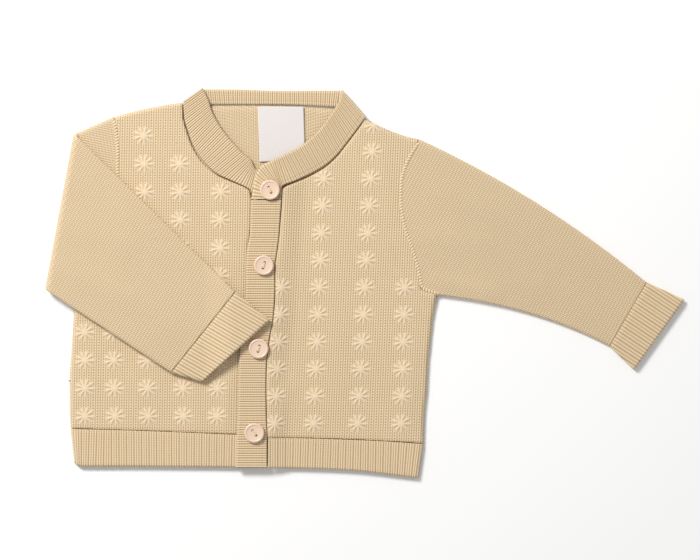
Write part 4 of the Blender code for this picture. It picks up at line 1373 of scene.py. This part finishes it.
def make_label(material):
    """A blank woven ribbon, sewn in under the back neckband."""
    middle = CLOTH + SEAM_GAP + LABEL_THICKNESS / 2
    table = SmoothTable([row._replace(near_z=middle, far_z=middle) for row in LABEL], [0, 1], [3, 4])
    rows, across = np.linspace(0, 1, 60), np.linspace(0, 1, 48)
    xyz = ruled(table, rows, across, [0, 1, 2], [3, 4, 5])
    down = rows[:, None] * table.length + 0 * xyz[..., 0]
    aside = across[None, :] * LABEL_WIDTH + 0 * xyz[..., 0]
    # It lies nearly flat, with a slow wave
    wave = 0.25 * np.sin(down / 35 * math.pi * 1.3 + 0.4)
    wave = wave * np.sin(aside / LABEL_WIDTH * math.pi * 0.9 + 0.3)
    xyz[..., 2] += LABEL_THICKNESS / 2 - 0.1 + wave
    knit = np.stack([aside, down, 0 * down], -1)
    faces = grid_faces(*down.shape, turned=not faces_up(xyz))
    return add_piece("neck_label_ribbon", xyz, faces, material, knit, None, LABEL_WALL)


# ---------------------------------------------------------------- operators


class CARDIGAN_OT_back(bpy.types.Operator):
    """Build the back and its hem rib"""

    bl_idname = "cardigan.back"
    bl_label = "Back"

    def execute(self, context):
        back = settle(make_back(finish("sleeve_knit")), "knit", "back")
        hem = make_hem("back_hem_rib", BACK_HEM, flat_front, BACK_RIB_MID, 0, finish("hem_rib"))
        settle(hem, "rib", "back_hem")
        return {"FINISHED"}


class CARDIGAN_OT_fronts(bpy.types.Operator):
    """Build both fronts with their star columns, and their hem ribs"""

    bl_idname = "cardigan.fronts"
    bl_label = "Fronts"

    def execute(self, context):
        cloth, rib = finish("front_knit"), finish("hem_rib")
        wale, course = sizes().front_wale / MM, sizes().front_course / MM
        left = make_front(
            "front_left_panel", LEFT_FRONT, LEFT_UNDERARM_ROW, risen_to_band,
            Knit(-33.6, -94.7, 0.045, wale, course), (LEFT_STARS, LEFT_STAR_START, LEFT_STAR_STEP),
            LEFT_CREASES, cloth,
        )
        settle(left, "knit", "front_left")
        right = make_front(
            "front_right_panel", RIGHT_FRONT, RIGHT_UNDERARM_ROW, flat_front,
            Knit(-95.4, -94.7, 0.02, wale, course), (RIGHT_STARS, RIGHT_STAR_START, RIGHT_STAR_STEP),
            RIGHT_CREASES, cloth,
        )
        settle(right, "knit", "front_right")
        hem = make_hem("front_left_hem_rib", LEFT_HEM, risen_to_band, FRONT_RIB_MID, 1, rib)
        settle(hem, "rib", "front_left_hem")
        hem = make_hem("front_right_hem_rib", RIGHT_HEM, flat_front, FRONT_RIB_MID, -1, rib)
        settle(hem, "rib", "front_right_hem")
        return {"FINISHED"}


class CARDIGAN_OT_bands(bpy.types.Operator):
    """Build the button band, the buttonhole band and the three neckband pieces"""

    bl_idname = "cardigan.bands"
    bl_label = "Bands"

    def execute(self, context):
        rib = finish("band_rib")
        repeat, neck = sizes().band_rib / MM, sizes().neck_rib / MM
        under = front_band(UNDER_BAND_INSET_LEFT, UNDER_BAND_INSET_RIGHT, FRONT_RIB_MID)
        over = front_band(0.0, 0.0, TOP_BAND_MID)
        strips = (
            Strip("button_band", under, repeat, 1.5, (), (0.0165, 0.172), ["back"]),
            Strip("buttonhole_band", over, repeat, 0.7, BUTTONS[1:], (0.019, 0.172), ["button_band_rib"]),
            Strip("neckband_back", BACK_NECKBAND, neck, 0.7, (), (0.0102, 0.094), []),
            Strip("neckband_right", RIGHT_NECKBAND, neck, 0.7, (), (0.0172, 0.092), ["back"]),
            Strip(
                "neckband_left", LEFT_NECKBAND, neck, 0.7, BUTTONS[:1], (0.0186, 0.094),
                ["neckband_right_rib"],
            ),
        )
        for strip in strips:
            name = f"{strip.node}_rib"
            band = make_band(name, strip.sections, strip.repeat, strip.step, rib, strip.holes)
            settle(band, "rib", strip.node)
        return {"FINISHED"}


class CARDIGAN_OT_sleeves(bpy.types.Operator):
    """Build the straight left sleeve, the folded right sleeve and their cuffs"""

    bl_idname = "cardigan.sleeves"
    bl_label = "Sleeves"

    def execute(self, context):
        cloth, rib = finish("sleeve_knit"), finish("band_rib")
        sleeve, cuff = make_sleeve_left(cloth, rib)
        settle(sleeve, "knit", "sleeve_left")
        settle(cuff, "rib", "cuff_left")
        sleeve, cuff = make_sleeve_right(cloth, rib)
        settle(sleeve, "knit", "sleeve_right")
        settle(cuff, "rib", "cuff_right")
        return {"FINISHED"}


class CARDIGAN_OT_seams(bpy.types.Operator):
    """Build the raised linked seams of both armholes"""

    bl_idname = "cardigan.seams"
    bl_label = "Seams"

    def execute(self, context):
        material = finish("linked_seam")
        for name, lines in (("armhole_seam_left", LEFT_ARMHOLE), ("armhole_seam_right", RIGHT_ARMHOLE)):
            line = armhole_curve(lines)(np.linspace(0, 1, 60))
            heights = np.full(len(line), FRONT_MID + CLOTH / 2)
            # It comes up from the shoulder's turn
            heights -= quarter_round(np.linspace(0, 1, 60) * SEAM_LENGTH - 0.5, TURN_RADIUS)
            seam = make_seam(name, line, heights, SEAM_WIDTH, SEAM_RAISED, material)
            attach(seam, BODY)
        return {"FINISHED"}


class CARDIGAN_OT_label(bpy.types.Operator):
    """Build the blank neck label"""

    bl_idname = "cardigan.label"
    bl_label = "Label"

    def execute(self, context):
        label = settle(make_label(finish("label_satin")), "label_satin", "neck_label")
        return {"FINISHED"}


class CARDIGAN_OT_buttons(bpy.types.Operator):
    """Build the four shell buttons and the thread that holds them"""

    bl_idname = "cardigan.buttons"
    bl_label = "Buttons"

    def execute(self, context):
        for number, place in enumerate(BUTTONS, start=1):
            button = make_button(number, place, finish("button_shell"))
            settle(button, "button_shell", f"button_{number}")
            thread = make_thread(number, place, finish("sewing_thread"))
            settle(thread, "sewing_thread", f"thread_{number}")
        return {"FINISHED"}


CAMERA_HEIGHT = 1.25
CAMERA_CENTRE = (-0.00966, 0.00193)
VIEW_WIDTH = 0.448
SENSOR = 36.0
KEY_PLACE = (-0.95, 1.05, 1.25)
KEY_SIZE = 0.55
KEY_POWER = 33.0
KEY_COLOUR = (1.0, 0.99, 0.97)
SKY_STRENGTH = 0.5
FLOOR_SIZE = 6.0
FLOOR_DEPTH = 0.0002


def add_area_light(name, place, size, power, tint):
    data = bpy.data.lights.new(name, "AREA")
    data.shape = "DISK"
    data.size = size
    data.energy = power
    data.color = tint
    light = bpy.data.objects.new(name, data)
    light.location = place
    light.rotation_euler = (-Vector(place)).to_track_quat("-Z", "Y").to_euler()
    bpy.context.scene.collection.objects.link(light)


class CARDIGAN_OT_stage(bpy.types.Operator):
    """Build the pale floor, the soft studio lights and the camera above"""

    bl_idname = "cardigan.stage"
    bl_label = "Studio"

    def execute(self, context):
        scene = context.scene
        mesh = bpy.data.meshes.new("studio_floor")
        half = FLOOR_SIZE / 2
        corners = [(-half, -half, -FLOOR_DEPTH), (half, -half, -FLOOR_DEPTH)]
        corners += [(half, half, -FLOOR_DEPTH), (-half, half, -FLOOR_DEPTH)]
        mesh.from_pydata(corners, [], [(0, 1, 2, 3)])
        mesh.materials.append(floor_material())
        floor = bpy.data.objects.new("studio_floor", mesh)
        scene.collection.objects.link(floor)

        add_area_light("key", KEY_PLACE, KEY_SIZE, KEY_POWER, KEY_COLOUR)
        world = bpy.data.worlds.new("studio")
        world.use_nodes = True
        sky = world.node_tree.nodes["Background"]
        sky.inputs["Color"].default_value = (1.0, 1.0, 1.0, 1.0)
        sky.inputs["Strength"].default_value = SKY_STRENGTH
        scene.world = world
        scene.view_settings.view_transform = "Standard"

        data = bpy.data.cameras.new("above")
        data.sensor_width = SENSOR
        data.lens = SENSOR * CAMERA_HEIGHT / VIEW_WIDTH
        data.clip_start = 0.05
        camera = bpy.data.objects.new("above", data)
        camera.location = (*CAMERA_CENTRE, CAMERA_HEIGHT)
        scene.collection.objects.link(camera)
        scene.camera = camera
        return {"FINISHED"}


class CARDIGAN_PT_panel(bpy.types.Panel):
    """Lists the sizes, the colours and the operators that build the cardigan"""

    bl_idname = "CARDIGAN_PT_panel"
    bl_label = "Baby cardigan"
    bl_space_type = "VIEW_3D"
    bl_region_type = "UI"
    bl_category = "Cardigan"

    def draw(self, context):
        layout = self.layout
        for group in (context.scene.cardigan_sizes, context.scene.cardigan_colours):
            box = layout.box()
            for name in group.__annotations__:
                box.prop(group, name)
        for operator in OPERATORS:
            layout.operator(operator.bl_idname)


OPERATORS = (
    CARDIGAN_OT_back,
    CARDIGAN_OT_fronts,
    CARDIGAN_OT_bands,
    CARDIGAN_OT_sleeves,
    CARDIGAN_OT_seams,
    CARDIGAN_OT_label,
    CARDIGAN_OT_buttons,
    CARDIGAN_OT_stage,
)
CLASSES = (CardiganSizes, CardiganColours, *OPERATORS, CARDIGAN_PT_panel)


def register():
    for cls in CLASSES:
        bpy.utils.register_class(cls)
    bpy.types.Scene.cardigan_sizes = bpy.props.PointerProperty(type=CardiganSizes)
    bpy.types.Scene.cardigan_colours = bpy.props.PointerProperty(type=CardiganColours)


def unregister():
    del bpy.types.Scene.cardigan_colours
    del bpy.types.Scene.cardigan_sizes
    for cls in reversed(CLASSES):
        bpy.utils.unregister_class(cls)


def main():
    register()
    bpy.ops.cardigan.back()
    bpy.ops.cardigan.fronts()
    bpy.ops.cardigan.bands()
    bpy.ops.cardigan.sleeves()
    bpy.ops.cardigan.seams()
    bpy.ops.cardigan.label()
    bpy.ops.cardigan.buttons()
    bpy.ops.cardigan.stage()


if __name__ == "__main__":
    main()
